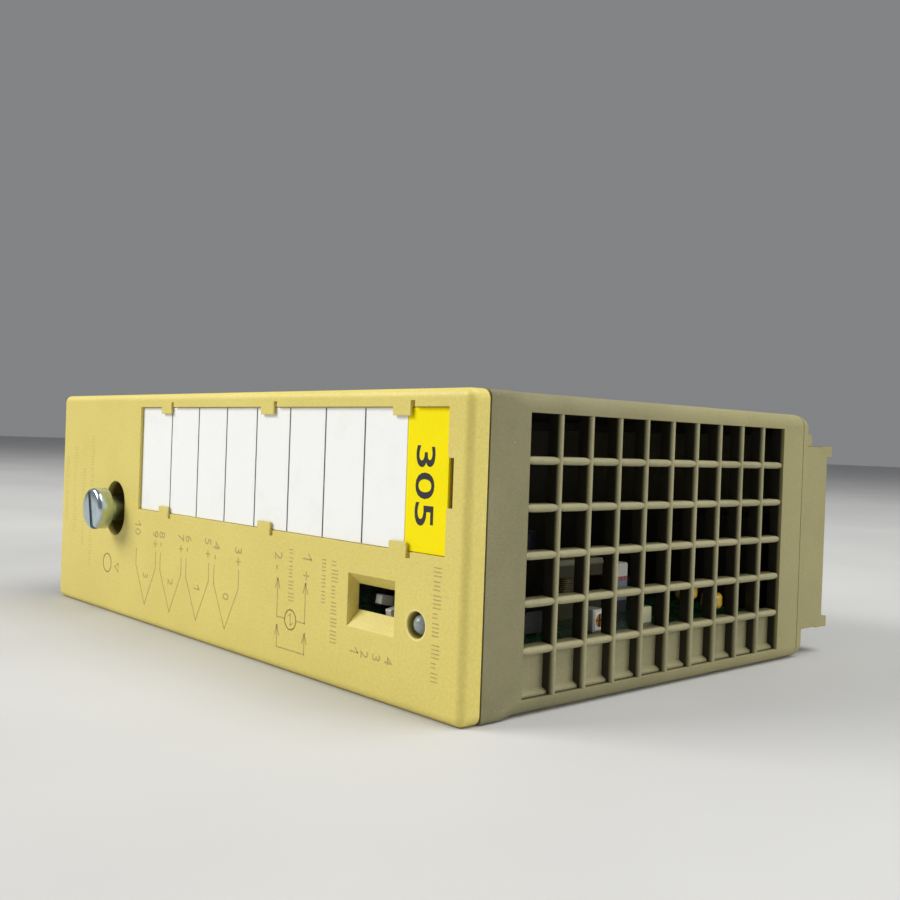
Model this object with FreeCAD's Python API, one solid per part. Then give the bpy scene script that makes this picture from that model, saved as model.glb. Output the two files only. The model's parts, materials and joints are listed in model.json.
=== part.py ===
"""Analogue input module of a modular controller, lying on its long side.

Built in module coordinates: x runs from the bottom end to the top end, y from the
front face to the rear, and z across the width, up from the side it lies on.
place() then moves every piece so that the origin is under the middle of the whole.
All sizes are in millimetres.
"""
import FreeCAD, Part
import math
import os

from FreeCAD import Vector

# ---------------------------------------------------------------- driving sizes
LENGTH = 135.0
WIDTH = 45.4
BODY_DEPTH = 87.0
COVER_DEPTH = 3.4
SEAM = 0.3
REAR_SEAM_Y = 85.3
WALL = 2.0
END_WALL = 2.4
BOARD_T = 1.6
FIT_GAP = 0.2

# outside form
FLANGE_EDGE_R = 0.9
BODY_EDGE_R = 2.2
FLANGE_END_Y = 7.0
BODY_START_Y = 11.0
EDGE_STEPS = 6
REAR_EDGE_R = 3.0
COVER_CORNER_R = 1.5
COVER_FRONT_R = 1.3
COVER_PLATE = 2.0
COVER_SKIRT = 1.8
TONGUE_CENTRES = (16.0, 67.5, 100.0)
TONGUE_HALF_W = 4.0
TONGUE_T = 1.0
TONGUE_END_Y = 9.5
HOOK_Y = 8.3
HOOK_PROUD = 0.4

# vent grilles in both ends
CELL_PITCH = 6.7
COLUMNS = 10
ROWS = 6
GRILLE_Y0 = 11.5
GRILLE_Z0 = 2.35
RIB = 1.0
BAR = 1.3
BLIND_RECESS = 2.0
BLIND_WALL = 1.2
GRILLE_Y1 = GRILLE_Y0 + COLUMNS * CELL_PITCH
GRILLE_Z1 = GRILLE_Z0 + ROWS * CELL_PITCH

# label field in the front cover
RECESS_X0, RECESS_X1 = 38.9, 130.7
RECESS_Z0, RECESS_Z1 = 22.45, 42.8
RECESS_DEPTH = 0.9
CARD_T = 0.35
CARD_GAP = 0.15
CARD_EDGE_GAP = 0.1
CARD_SPLIT_X = 121.4
TAB_T = 0.35
TAB_W = 3.9
TAB_REACH = 1.25
TAB_CENTRES = (49.6, 85.4, 120.6)
TAB_RELIEF_W = 0.9
TAB_RELIEF_DEPTH = 1.5
TAB_ROOT = 0.5
PRY_NOTCH_L = 1.2
PRY_NOTCH_Z0, PRY_NOTCH_Z1 = 29.1, 35.9
PRY_NOTCH_DEPTH = 3.4

# setting window and lamp hole
WINDOW_X0, WINDOW_X1 = 109.4, 120.5
WINDOW_Z0, WINDOW_Z1 = 10.0, 18.0
SIGHT_X0, SIGHT_X1 = 109.6, 119.5
SIGHT_Z0, SIGHT_Z1 = 12.4, 16.3
BEVEL_DEPTH = 1.85
LAMP_X, LAMP_Z = 125.25, 12.5
LAMP_HOLE_R = 1.9
RIM_CHAMFER = 0.12

# captive fixing screw, drawn out to its stop
SCREW_X, SCREW_Z = 28.3, 21.9
HEAD_R = 4.2
HEAD_T = 3.2
HEAD_EDGE_R = 0.8
HEAD_FACE_Y = -5.3
SLOT_W = 1.3
SLOT_DEPTH = 1.1
SLOT_TILT = -13.0
NECK_R = 2.6
NECK_END_Y = 1.0
SHANK_R = 1.7
THREAD_R = 1.95
THREAD_L = 6.0
SCREW_TIP_Y = 93.0
TIP_CHAMFER = 0.4
HEAD_SEAT_Y = 5.5
SEAT_T = 1.5
NECK_CLEARANCE = 0.08
HEAD_HOLE_R = 4.4
HEAD_HOLE_STRETCH = 1.2
BOSS_WALL = 1.8
RING_T = 0.8
RING_R = 3.6
GROOVE_R = 1.3
RING_CLEARANCE = 0.08
RING_GAP = 0.1
RING_SLIT = 1.0
REAR_GUIDE_R = 2.3
REAR_BOSS_R = 4.2
REAR_BOSS_Y = 79.0
REAR_LIP_H = 1.2
REAR_JOIN = 0.2
REAR_SEAM = 0.15
KEY_RIB_L = 14.0

# circuit board
BOARD_X0, BOARD_X1 = 3.4, 131.6
BOARD_Y0, BOARD_Y1 = 8.0, 82.6
BOARD_Z0 = 7.6
BOARD_TOP = BOARD_Z0 + BOARD_T
RAIL_H = 1.6
RAIL_REACH = 2.8
RAIL_GAP = 1.0
RAIL_FRONT_RUN, RAIL_REAR_RUN = 4.0, 3.0
BOARD_CHAMFER = 1.0
TOOLING_HOLE_R = 1.5
TOOLING_XS, TOOLING_YS = (10.0, 104.0), (13.0, 76.0)

# four-way setting switch
LEVER_COUNT = 4
LEVER_PITCH = 2.54
SWITCH_MID_X = 115.2
SWITCH_W = 11.8
SWITCH_Y0, SWITCH_Y1 = 6.5, 15.5
SWITCH_H = 9.4
LEVER_Z = 12.95
LEVER_PIVOT_Y = 9.6
LEVER_TIP_Y = 4.2
LEVER_W = 1.5
LEVER_T = 1.5
LEVER_TIP_R = 0.25
TRUNNION_END_GAP = 0.05
LEVER_BARREL_R = 1.0
LEVER_SWING = 11.0
LEVER_UP = (True, False, False, False)
POCKET_W = 1.9
POCKET_H = 5.2
POCKET_BACK_Y = 10.9
TRUNNION_R = 0.4
TRUNNION_L = 0.42
TRUNNION_CLEARANCE = 0.08

# rear connector
SHROUD_X0, SHROUD_X1 = 84.0, 134.4
SHROUD_Z0, SHROUD_Z1 = 5.0, 39.5
SHROUD_REAR_Y = 95.5
SHROUD_WALL = 2.0
SHROUD_SEAT = 0.8
FLANGE_REAR_Y = 97.4
FLANGE_T = 1.8
FLANGE_LIP = 0.2
KEY_RIB_Y1 = 89.5
KEY_RIB_Z1 = 41.9
CARRIER_Y0, CARRIER_FACE_Y = 82.9, 91.0
CARRIER_X0, CARRIER_X1 = 88.0, 130.5
CARRIER_Z0, CARRIER_Z1 = 12.0, 26.0
PIN_W = 0.8
PIN_END_Y = 95.0
PIN_ROWS_Z = (16.0, 21.0)
PIN_BEND_Y = (80.6, 78.0)
PIN_TIP_CHAMFER = 0.2
HOOD_Y0 = 76.4
HOOD_T = 0.8
HOOD_Z0 = 9.5
DIVIDER_HALF_W = 0.5
DIVIDER_DEPTH = 1.5
TERMINAL_X0, TERMINAL_PITCH, TERMINALS_PER_ROW = 92.0, 5.08, 5
BUS_X0, BUS_PITCH, BUS_PER_ROW = 117.6, 2.54, 4

# status lamp
LAMP_R = 1.5
LAMP_TIP_Y = 0.05
LAMP_BASE_Y = 6.2
LAMP_COLLAR_R = 1.85
LAMP_COLLAR_T = 0.9
HOLDER_DEPTH = 5.0
HOLDER_W = 4.6
LEAD_W = 0.5
LEAD_PITCH = 2.54
HOLDER_CHAMFER = 0.6
LEAD_BEND_INSET = 1.5

# isolating transformer, standing on the board behind the top grille
COIL_X0, COIL_X1 = 107.5, 120.0
COIL_Y0, COIL_Y1 = 35.2, 46.4
COIL_TOP = 19.1
COIL_FLANGE = 1.2
CORE_LEG = 1.7
CORE_W = 6.0
COIL_FOOT = 0.8
COIL_INSET = 0.5
COIL_CORNER_R = 1.8
FORMER_X_HALF, FORMER_Y_HALF = 2.2, 1.4

# trimmer facing the top grille
TRIMMER_X0, TRIMMER_X1 = 127.3, 130.3
TRIMMER_Y0, TRIMMER_Y1 = 32.2, 35.2
TRIMMER_H = 3.4
ROTOR_R = 1.0
ROTOR_DEPTH = 1.6
ROTOR_CLEARANCE = 0.08
ROTOR_SLOT = 0.35
ROTOR_SLOT_DEPTH = 0.8
ROTOR_SUNK = 0.15
TRIMMER_CHAMFER = 0.3

# boxed and dipped capacitors: lowest and highest x, lowest and highest y, height
FILM_CAPACITORS = (
    (113.0, 120.0, 48.6, 53.6, 8.7),
    (92.0, 99.5, 30.0, 36.0, 8.2),
    (80.0, 87.5, 30.0, 36.0, 8.2),
)
CERAMIC_CAPACITORS = (
    (126.4, 129.0, 45.6, 48.8, 2.6),
    (96.5, 98.9, 20.0, 23.4, 2.6),
    (78.0, 80.4, 20.0, 23.4, 2.6),
    (67.0, 69.4, 20.0, 23.4, 2.6),
)
TANTALUM_CAPACITORS = ((128.6, 58.9), (128.9, 66.2), (79.0, 64.5), (69.0, 61.5))
TANTALUM_LIFT = (3.0, 0.8, 2.0, 2.0)
TANTALUM_R = 1.9
TANTALUM_LENGTH = 2.9
LEG_R = 0.3
LEG_SPREAD = 1.27
FILM_CORNER_R = 0.4
CERAMIC_CORNER_R = 0.3
BEAD_ROUNDING = 0.45

# electrolytic cans: x, y, radius, height
ELECTROLYTICS = ((60.0, 48.0, 5.0, 12.5), (74.0, 48.0, 5.0, 12.5), (88.0, 58.0, 4.0, 11.5))
CAN_RIM_R = 0.6
CAN_GROOVE_H = 2.0
CAN_GROOVE_R = 0.6
CAN_GROOVE_OFFSET = 0.35

# integrated circuits: x centre, y centre, number of legs on each side, turned
PACKAGE_W = 6.4
PACKAGE_H = 3.3
PACKAGE_LIFT = 0.6
LEG_PITCH = 2.54
LEG_W = 0.5
LEG_T = 0.3
WIDE_PACKAGE_W = 13.4
PACKAGES = (
    (123.0, 22.0, 4, PACKAGE_W),
    (108.0, 24.5, 4, PACKAGE_W),
    (78.0, 73.5, 7, PACKAGE_W),
    (100.0, 70.5, 7, PACKAGE_W),
    (44.5, 62.0, 14, WIDE_PACKAGE_W),
    (86.0, 44.0, 4, PACKAGE_W),
)
OPTOCOUPLERS = ((20.0, 38.0), (20.0, 47.0), (20.0, 56.0), (20.0, 65.0))
PACKAGE_CHAMFER = 0.5
PIN_ONE_R = 0.8
PIN_ONE_DEPTH = 0.5
SHOULDER_L = 0.7
OPTO_LEGS = 3

# input resistors in a row by the front edge
RESISTOR_COUNT = 8
RESISTOR_X0 = 36.0
RESISTOR_PITCH = 3.6
RESISTOR_Y0, RESISTOR_Y1 = 21.0, 27.4
RESISTOR_R = 1.15
RESISTOR_LIFT = 0.3
RESISTOR_REACH = 1.6
RESISTOR_RIM_R = 0.45
LEAD_DROP_R = 0.25
LEAD_INSET = 0.4

# clock crystal, an oval can
CRYSTAL_X, CRYSTAL_Y = 60.0, 34.0
CRYSTAL_HALF = 3.6
CRYSTAL_R = 2.2
CRYSTAL_H = 3.5
CRYSTAL_EDGE_R = 0.4

# solder under the board
JOINT_TIP_R, JOINT_FOOT_R = 0.35, 0.8
JOINT_H = 1.0
JOINT_REACH = 0.55

# coding key on the rear
CODING_X, CODING_Z = 60.0, 21.9
CODING_R = 5.0
CODING_BASE_T = 1.5
CODING_SEAT = 0.8
CODING_CAM_L = 5.5
CODING_CAM_R = 3.2
CODING_FLAT = 0.8

ORIGIN_X = LENGTH / 2
ORIGIN_Y = (HEAD_FACE_Y + FLANGE_REAR_Y) / 2

X_AXIS = Vector(1, 0, 0)
Y_AXIS = Vector(0, 1, 0)
Z_AXIS = Vector(0, 0, 1)


# ---------------------------------------------------------------- small helpers
def block(x0, x1, y0, y1, z0, z1):
    return Part.makeBox(x1 - x0, y1 - y0, z1 - z0, Vector(x0, y0, z0))


def rod_y(x, z, radius, y0, y1):
    return Part.makeCylinder(radius, y1 - y0, Vector(x, y0, z), Y_AXIS)


def rod_x(y, z, radius, x0, x1):
    return Part.makeCylinder(radius, x1 - x0, Vector(x0, y, z), X_AXIS)


def rod_z(x, y, radius, z0, z1):
    return Part.makeCylinder(radius, z1 - z0, Vector(x, y, z0), Z_AXIS)


def oval_y(x, z, radius, stretch, y0, y1):
    """A slot-shaped plug along y, longer across the width by twice stretch."""
    middle = block(x - radius, x + radius, y0, y1, z - stretch, z + stretch)
    lower = rod_y(x, z - stretch, radius, y0, y1)
    upper = rod_y(x, z + stretch, radius, y0, y1)
    return middle.fuse([lower, upper]).removeSplitter()


def rounded_outline(y, radius):
    """The outline of the body across its depth, a rectangle with round corners."""
    corners = [
        (radius, 0, LENGTH - radius, 0, LENGTH - radius, radius, -90),
        (LENGTH, radius, LENGTH, WIDTH - radius, LENGTH - radius, WIDTH - radius, 0),
        (LENGTH - radius, WIDTH, radius, WIDTH, radius, WIDTH - radius, 90),
        (0, WIDTH - radius, 0, radius, radius, radius, 180),
    ]
    edges = []
    for xa, za, xb, zb, cx, cz, start in corners:
        middle = math.radians(start + 45)
        end = math.radians(start + 90)
        edges.append(Part.makeLine(Vector(xa, y, za), Vector(xb, y, zb)))
        through = Vector(cx + radius * math.cos(middle), y, cz + radius * math.sin(middle))
        stop = Vector(cx + radius * math.cos(end), y, cz + radius * math.sin(end))
        edges.append(Part.Arc(Vector(xb, y, zb), through, stop).toShape())
    return Part.Wire(edges)


def frustum(x0, x1, z0, z1, y0, inner_x0, inner_x1, inner_z0, inner_z1, y1):
    """A funnel between two upright rectangles, one at y0 and one at y1."""
    outer = [Vector(x0, y0, z0), Vector(x1, y0, z0), Vector(x1, y0, z1), Vector(x0, y0, z1)]
    inner = [
        Vector(inner_x0, y1, inner_z0),
        Vector(inner_x1, y1, inner_z0),
        Vector(inner_x1, y1, inner_z1),
        Vector(inner_x0, y1, inner_z1),
    ]
    wires = [Part.makePolygon(points + points[:1]) for points in (outer, inner)]
    return Part.makeLoft(wires, True, True)


def mirrored_ends(shape):
    """The same piece at the other end of the module."""
    return shape.mirror(Vector(LENGTH / 2, 0, 0), X_AXIS)


def edges_where(shape, test):
    return [edge for edge in shape.Edges if test(edge)]


def place(shape):
    moved = shape.copy()
    moved.translate(Vector(-ORIGIN_X, -ORIGIN_Y, 0))
    return moved


def save(name, shapes):
    solids = [solid for shape in shapes for solid in shape.Solids]
    whole = solids[0] if len(solids) == 1 else Part.makeCompound(solids)
    place(whole).exportStep(os.path.join("parts", name + ".step"))


# ---------------------------------------------------------------- case
def envelope():
    """The outside form: small edges behind the cover, larger ones along the body."""
    front_y = COVER_DEPTH + SEAM
    stations = [(front_y, FLANGE_EDGE_R), (FLANGE_END_Y, FLANGE_EDGE_R)]
    for step in range(1, EDGE_STEPS):
        share = step / EDGE_STEPS
        smooth = share * share * (3 - 2 * share)
        y = FLANGE_END_Y + share * (BODY_START_Y - FLANGE_END_Y)
        stations.append((y, FLANGE_EDGE_R + smooth * (BODY_EDGE_R - FLANGE_EDGE_R)))
    stations.append((BODY_START_Y, BODY_EDGE_R))
    stations.append((BODY_DEPTH, BODY_EDGE_R))
    outlines = [rounded_outline(y, radius) for y, radius in stations]
    form = Part.makeLoft(outlines, True, True)
    side_view = block(0, LENGTH, front_y, BODY_DEPTH, 0, WIDTH)
    rear_edges = edges_where(
        side_view,
        lambda e: e.Length > LENGTH - 1 and e.BoundBox.YMin > BODY_DEPTH - 1,
    )
    return form.common(side_view.makeFillet(REAR_EDGE_R, rear_edges))


def board_rail():
    """The ledge under one edge of the board, tied to the end wall past the grille."""
    z0, z1 = BOARD_Z0 - RAIL_H, BOARD_Z0
    inner_x = LENGTH - END_WALL
    ledge_x = inner_x - RAIL_GAP
    y0 = GRILLE_Y0 - RAIL_FRONT_RUN
    y1 = GRILLE_Y1 + RAIL_REAR_RUN
    ledge = block(ledge_x - RAIL_REACH, ledge_x, y0, y1, z0, z1)
    front_tie = block(ledge_x, inner_x, y0, GRILLE_Y0, z0, z1)
    rear_tie = block(ledge_x, inner_x, GRILLE_Y1, y1, z0, z1)
    return ledge.fuse([front_tie, rear_tie])


def housing_shell(form):
    front_y = COVER_DEPTH + SEAM
    slab = block(-1, LENGTH + 1, front_y, REAR_SEAM_Y, -1, WIDTH + 1)
    shell = form.common(slab)
    cavity = block(END_WALL, LENGTH - END_WALL, 0, BODY_DEPTH, WALL, WIDTH - WALL)
    vents = block(-1, LENGTH + 1, GRILLE_Y0, GRILLE_Y1, GRILLE_Z0, GRILLE_Z1)
    rail = board_rail()
    shell = shell.cut(cavity).cut(vents)
    return shell.fuse([rail, mirrored_ends(rail)])


def nosed_bar(z, y0, y1):
    """A cross bar with a half-round nose."""
    radius = BAR / 2
    nose_x = LENGTH - radius
    back = block(LENGTH - END_WALL, nose_x, y0, y1, z - radius, z + radius)
    nose = Part.makeCylinder(radius, y1 - y0, Vector(nose_x, y0, z), Y_AXIS)
    return back.fuse(nose)


def nosed_rib(y, z0, z1):
    """An upright rib with a half-round nose."""
    radius = RIB / 2
    nose_x = LENGTH - radius
    back = block(LENGTH - END_WALL, nose_x, y - radius, y + radius, z0, z1)
    return back.fuse(rod_z(nose_x, y, radius, z0, z1))


def end_grille():
    """Bars and ribs of one vent, with the solid back behind the lowest row."""
    bars = [
        nosed_bar(GRILLE_Z0 + row * CELL_PITCH, GRILLE_Y0, GRILLE_Y1) for row in range(1, ROWS)
    ]
    ribs = [
        nosed_rib(GRILLE_Y0 + column * CELL_PITCH, GRILLE_Z0, GRILLE_Z1)
        for column in range(1, COLUMNS)
    ]
    back_x = LENGTH - BLIND_RECESS
    blind_top = GRILLE_Z0 + CELL_PITCH
    blind = block(back_x - BLIND_WALL, back_x, GRILLE_Y0, GRILLE_Y1, GRILLE_Z0, blind_top)
    return blind.fuse(bars + ribs).removeSplitter()


def shroud_wall(y0, y1):
    """The four walls round the backplane plug, from y0 to y1."""
    outside = block(SHROUD_X0, SHROUD_X1, y0, y1, SHROUD_Z0, SHROUD_Z1)
    inside = block(
        SHROUD_X0 + SHROUD_WALL,
        SHROUD_X1 - SHROUD_WALL,
        y0 - 1,
        y1 + 1,
        SHROUD_Z0 + SHROUD_WALL,
        SHROUD_Z1 - SHROUD_WALL,
    )
    return outside.cut(inside)


def rear_cover(form):
    front_y = REAR_SEAM_Y + REAR_SEAM
    joint_y = REAR_SEAM_Y + REAR_JOIN
    plate = form.common(block(-1, LENGTH + 1, front_y, BODY_DEPTH, -1, WIDTH + 1))
    lip = block(
        END_WALL + FIT_GAP,
        LENGTH - END_WALL - FIT_GAP,
        REAR_SEAM_Y - REAR_LIP_H,
        joint_y,
        WALL + FIT_GAP,
        WIDTH - WALL - FIT_GAP,
    )
    lip_inner = block(
        END_WALL + WALL,
        LENGTH - END_WALL - WALL,
        REAR_SEAM_Y - 2,
        front_y,
        WALL + WALL,
        WIDTH - WALL - WALL,
    )
    boss = rod_y(SCREW_X, SCREW_Z, REAR_BOSS_R, REAR_BOSS_Y, joint_y)
    key_rib = block(
        SHROUD_X1 - KEY_RIB_L, SHROUD_X1,
        BODY_DEPTH, KEY_RIB_Y1,
        SHROUD_Z1 + FLANGE_LIP, KEY_RIB_Z1,
    )
    guide = rod_y(SCREW_X, SCREW_Z, REAR_GUIDE_R, REAR_BOSS_Y - 1, BODY_DEPTH + 1)
    window = block(
        CARRIER_X0, CARRIER_X1, REAR_SEAM_Y - 2, BODY_DEPTH + 1, CARRIER_Z0, CARRIER_Z1
    )
    cover = plate.fuse([lip.cut(lip_inner), boss, key_rib]).cut(guide).cut(window)
    shroud_groove = shroud_wall(BODY_DEPTH - SHROUD_SEAT, BODY_DEPTH + 1).cut(key_rib)
    key_pocket = rod_y(
        CODING_X, CODING_Z, CODING_R + FIT_GAP, BODY_DEPTH - CODING_SEAT, BODY_DEPTH + 1
    )
    return cover.cut(shroud_groove).cut(key_pocket)


def connector_shroud():
    """The open box that guides the backplane plug, let into the rear cover, with two running flanges."""
    walls = shroud_wall(BODY_DEPTH - SHROUD_SEAT, SHROUD_REAR_Y)
    flange_y0 = SHROUD_REAR_Y - FLANGE_T
    upper = block(
        SHROUD_X0, SHROUD_X1, flange_y0, FLANGE_REAR_Y, SHROUD_Z1 - FLANGE_T, SHROUD_Z1 + FLANGE_LIP
    )
    lower = block(
        SHROUD_X0, SHROUD_X1, flange_y0, FLANGE_REAR_Y, SHROUD_Z0 - FLANGE_LIP, SHROUD_Z0 + FLANGE_T
    )
    return walls.fuse([upper, lower]).removeSplitter()


# ---------------------------------------------------------------- front cover
def cover_form():
    """A shallow tray with round corners and a round front edge."""
    tray = block(0, LENGTH, 0, COVER_DEPTH, 0, WIDTH)
    corners = edges_where(tray, lambda e: abs(e.tangentAt(e.FirstParameter).y) > 0.9)
    tray = tray.makeFillet(COVER_CORNER_R, corners)
    front = edges_where(tray, lambda e: e.BoundBox.YMax < COVER_DEPTH / 2)
    tray = tray.makeFillet(COVER_FRONT_R, front)
    inside = block(
        COVER_SKIRT,
        LENGTH - COVER_SKIRT,
        COVER_PLATE,
        COVER_DEPTH + 1,
        COVER_SKIRT,
        WIDTH - COVER_SKIRT,
    )
    return tray.cut(inside)


def label_tab(centre_x, edge_z, inwards):
    """A small finger that holds the label cards down."""
    z0, z1 = sorted((edge_z - TAB_ROOT * inwards, edge_z + TAB_REACH * inwards))
    return block(centre_x - TAB_W / 2, centre_x + TAB_W / 2, 0, TAB_T, z0, z1)


def tab_relief(centre_x, edge_z, inwards):
    """The moulding slot beside a finger."""
    x0 = centre_x + TAB_W / 2
    z0, z1 = sorted((edge_z - TAB_RELIEF_W * inwards, edge_z + 0.1 * inwards))
    return block(x0, x0 + TAB_RELIEF_W, -0.1, TAB_RELIEF_DEPTH, z0, z1)


def cover_cuts():
    recess = block(RECESS_X0, RECESS_X1, -1, RECESS_DEPTH, RECESS_Z0, RECESS_Z1)
    notch = block(
        RECESS_X1 - 0.1, RECESS_X1 + PRY_NOTCH_L, -1, PRY_NOTCH_DEPTH, PRY_NOTCH_Z0, PRY_NOTCH_Z1
    )
    funnel = frustum(
        WINDOW_X0, WINDOW_X1, WINDOW_Z0, WINDOW_Z1, 0,
        SIGHT_X0, SIGHT_X1, SIGHT_Z0, SIGHT_Z1, BEVEL_DEPTH,
    )
    sight = block(SIGHT_X0, SIGHT_X1, BEVEL_DEPTH - 0.1, COVER_DEPTH, SIGHT_Z0, SIGHT_Z1)
    lamp = rod_y(LAMP_X, LAMP_Z, LAMP_HOLE_R, -1, COVER_DEPTH)
    lamp_rim = Part.makeCone(
        LAMP_HOLE_R + RIM_CHAMFER, LAMP_HOLE_R, RIM_CHAMFER, Vector(LAMP_X, 0, LAMP_Z), Y_AXIS
    )
    reliefs = []
    for centre in TAB_CENTRES:
        reliefs.append(tab_relief(centre, RECESS_Z0, 1))
        reliefs.append(tab_relief(centre, RECESS_Z1, -1))
    return [recess, notch, funnel, sight, lamp, lamp_rim] + reliefs


def head_boss():
    """The pocket behind the cover that the screw head drops into."""
    end_y = HEAD_SEAT_Y + SEAT_T
    return oval_y(
        SCREW_X, SCREW_Z, HEAD_HOLE_R + BOSS_WALL, HEAD_HOLE_STRETCH, COVER_PLATE - 0.1, end_y
    )


def snap_tongue(centre_x, z_inner, outwards):
    """A snap tongue inside the housing wall, with its hook."""
    x0, x1 = centre_x - TONGUE_HALF_W, centre_x + TONGUE_HALF_W
    z_face = z_inner - TONGUE_T * outwards
    z_hook = z_face - HOOK_PROUD * outwards
    tongue = block(x0, x1, COVER_PLATE - 0.1, TONGUE_END_Y, *sorted((z_inner, z_face)))
    hook = block(x0, x1, HOOK_Y, TONGUE_END_Y, *sorted((z_face, z_hook)))
    return tongue.fuse(hook)


def front_cover():
    cover = cover_form().fuse(head_boss())
    for centre_x in TONGUE_CENTRES:
        lower = snap_tongue(centre_x, WALL + FIT_GAP, -1)
        upper = snap_tongue(centre_x, WIDTH - WALL - FIT_GAP, 1)
        cover = cover.fuse([lower, upper])
    cover = cover.cut(cover_cuts())
    pocket = oval_y(SCREW_X, SCREW_Z, HEAD_HOLE_R, HEAD_HOLE_STRETCH, -1, HEAD_SEAT_Y)
    bore = rod_y(SCREW_X, SCREW_Z, NECK_R + NECK_CLEARANCE, 0, HEAD_SEAT_Y + SEAT_T + 1)
    cover = cover.cut([pocket, bore])
    tabs = []
    for centre in TAB_CENTRES:
        tabs.append(label_tab(centre, RECESS_Z0, 1))
        tabs.append(label_tab(centre, RECESS_Z1, -1))
    return cover.fuse(tabs)


def label_card(x0, x1):
    z0, z1 = RECESS_Z0 + CARD_EDGE_GAP, RECESS_Z1 - CARD_EDGE_GAP
    return block(x0, x1, RECESS_DEPTH - CARD_T, RECESS_DEPTH, z0, z1)


# ---------------------------------------------------------------- fixing screw
def fixing_screw():
    """A slotted screw with a plain neck, a ring groove and a threaded end."""
    head = rod_y(SCREW_X, SCREW_Z, HEAD_R, HEAD_FACE_Y, HEAD_FACE_Y + HEAD_T)
    face_edge = edges_where(head, lambda e: e.BoundBox.YMax < HEAD_FACE_Y + 0.01)
    head = head.makeFillet(HEAD_EDGE_R, face_edge)
    slot = block(
        SCREW_X - SLOT_W / 2, SCREW_X + SLOT_W / 2,
        HEAD_FACE_Y - 1, HEAD_FACE_Y + SLOT_DEPTH,
        SCREW_Z - HEAD_R - 1, SCREW_Z + HEAD_R + 1,
    )
    slot.rotate(Vector(SCREW_X, 0, SCREW_Z), Y_AXIS, SLOT_TILT)
    neck = rod_y(SCREW_X, SCREW_Z, NECK_R, HEAD_FACE_Y + HEAD_T, NECK_END_Y)
    thread_y = SCREW_TIP_Y - THREAD_L
    shank = rod_y(SCREW_X, SCREW_Z, SHANK_R, NECK_END_Y, thread_y)
    thread = rod_y(SCREW_X, SCREW_Z, THREAD_R, thread_y, SCREW_TIP_Y)
    tip_edge = edges_where(thread, lambda e: e.BoundBox.YMin > SCREW_TIP_Y - 0.01)
    thread = thread.makeChamfer(TIP_CHAMFER, tip_edge)
    groove_y0 = HEAD_SEAT_Y + SEAT_T + RING_GAP - RING_CLEARANCE / 2
    groove_y1 = groove_y0 + RING_T + RING_CLEARANCE
    groove = rod_y(SCREW_X, SCREW_Z, SHANK_R + 1, groove_y0, groove_y1)
    core = rod_y(SCREW_X, SCREW_Z, GROOVE_R, groove_y0, groove_y1)
    return head.cut(slot).fuse([neck, shank, thread]).cut(groove.cut(core))


def retaining_ring():
    """The split ring in the screw's groove that stops it behind the cover."""
    y0 = HEAD_SEAT_Y + SEAT_T + RING_GAP
    ring = rod_y(SCREW_X, SCREW_Z, RING_R, y0, y0 + RING_T)
    bore = rod_y(SCREW_X, SCREW_Z, GROOVE_R + RING_CLEARANCE, y0 - 1, y0 + RING_T + 1)
    slit = block(
        SCREW_X - RING_SLIT / 2, SCREW_X + RING_SLIT / 2,
        y0 - 1, y0 + RING_T + 1,
        SCREW_Z, SCREW_Z + RING_R + 1,
    )
    return ring.cut([bore, slit])


# ---------------------------------------------------------------- setting switch
def lever_x(index):
    return SWITCH_MID_X + (index - (LEVER_COUNT - 1) / 2) * LEVER_PITCH


def dip_switch_body():
    x0 = SWITCH_MID_X - SWITCH_W / 2
    x1 = SWITCH_MID_X + SWITCH_W / 2
    body = block(x0, x1, SWITCH_Y0, SWITCH_Y1, BOARD_TOP, BOARD_TOP + SWITCH_H)
    cuts = []
    for index in range(LEVER_COUNT):
        x = lever_x(index)
        cuts.append(
            block(
                x - POCKET_W / 2, x + POCKET_W / 2,
                SWITCH_Y0 - 1, POCKET_BACK_Y,
                LEVER_Z - POCKET_H / 2, LEVER_Z + POCKET_H / 2,
            )
        )
        reach = LEVER_W / 2 + TRUNNION_L + TRUNNION_END_GAP
        radius = TRUNNION_R + TRUNNION_CLEARANCE
        cuts.append(rod_x(LEVER_PIVOT_Y, LEVER_Z, radius, x - reach, x + reach))
    return body.cut(cuts)


def dip_lever(index):
    """One lever, turned to the side it is set to."""
    x = lever_x(index)
    arm = block(
        x - LEVER_W / 2, x + LEVER_W / 2,
        LEVER_TIP_Y, LEVER_PIVOT_Y,
        LEVER_Z - LEVER_T / 2, LEVER_Z + LEVER_T / 2,
    )
    tip_edges = edges_where(arm, lambda e: e.BoundBox.YMax < LEVER_TIP_Y + 0.01)
    arm = arm.makeFillet(LEVER_TIP_R, tip_edges)
    barrel = rod_x(LEVER_PIVOT_Y, LEVER_Z, LEVER_BARREL_R, x - LEVER_W / 2, x + LEVER_W / 2)
    reach = LEVER_W / 2 + TRUNNION_L
    trunnion = rod_x(LEVER_PIVOT_Y, LEVER_Z, TRUNNION_R, x - reach, x + reach)
    lever = arm.fuse([barrel, trunnion])
    turn = -LEVER_SWING if LEVER_UP[index] else LEVER_SWING
    lever.rotate(Vector(x, LEVER_PIVOT_Y, LEVER_Z), X_AXIS, turn)
    return lever


# ---------------------------------------------------------------- lamp
def status_lamp():
    """A three-millimetre lamp with a domed front and a collar."""
    body = rod_y(LAMP_X, LAMP_Z, LAMP_R, LAMP_TIP_Y + LAMP_R, LAMP_BASE_Y)
    dome = Part.makeSphere(LAMP_R, Vector(LAMP_X, LAMP_TIP_Y + LAMP_R, LAMP_Z))
    collar = rod_y(LAMP_X, LAMP_Z, LAMP_COLLAR_R, LAMP_BASE_Y - LAMP_COLLAR_T, LAMP_BASE_Y)
    return body.fuse([dome, collar])


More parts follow.
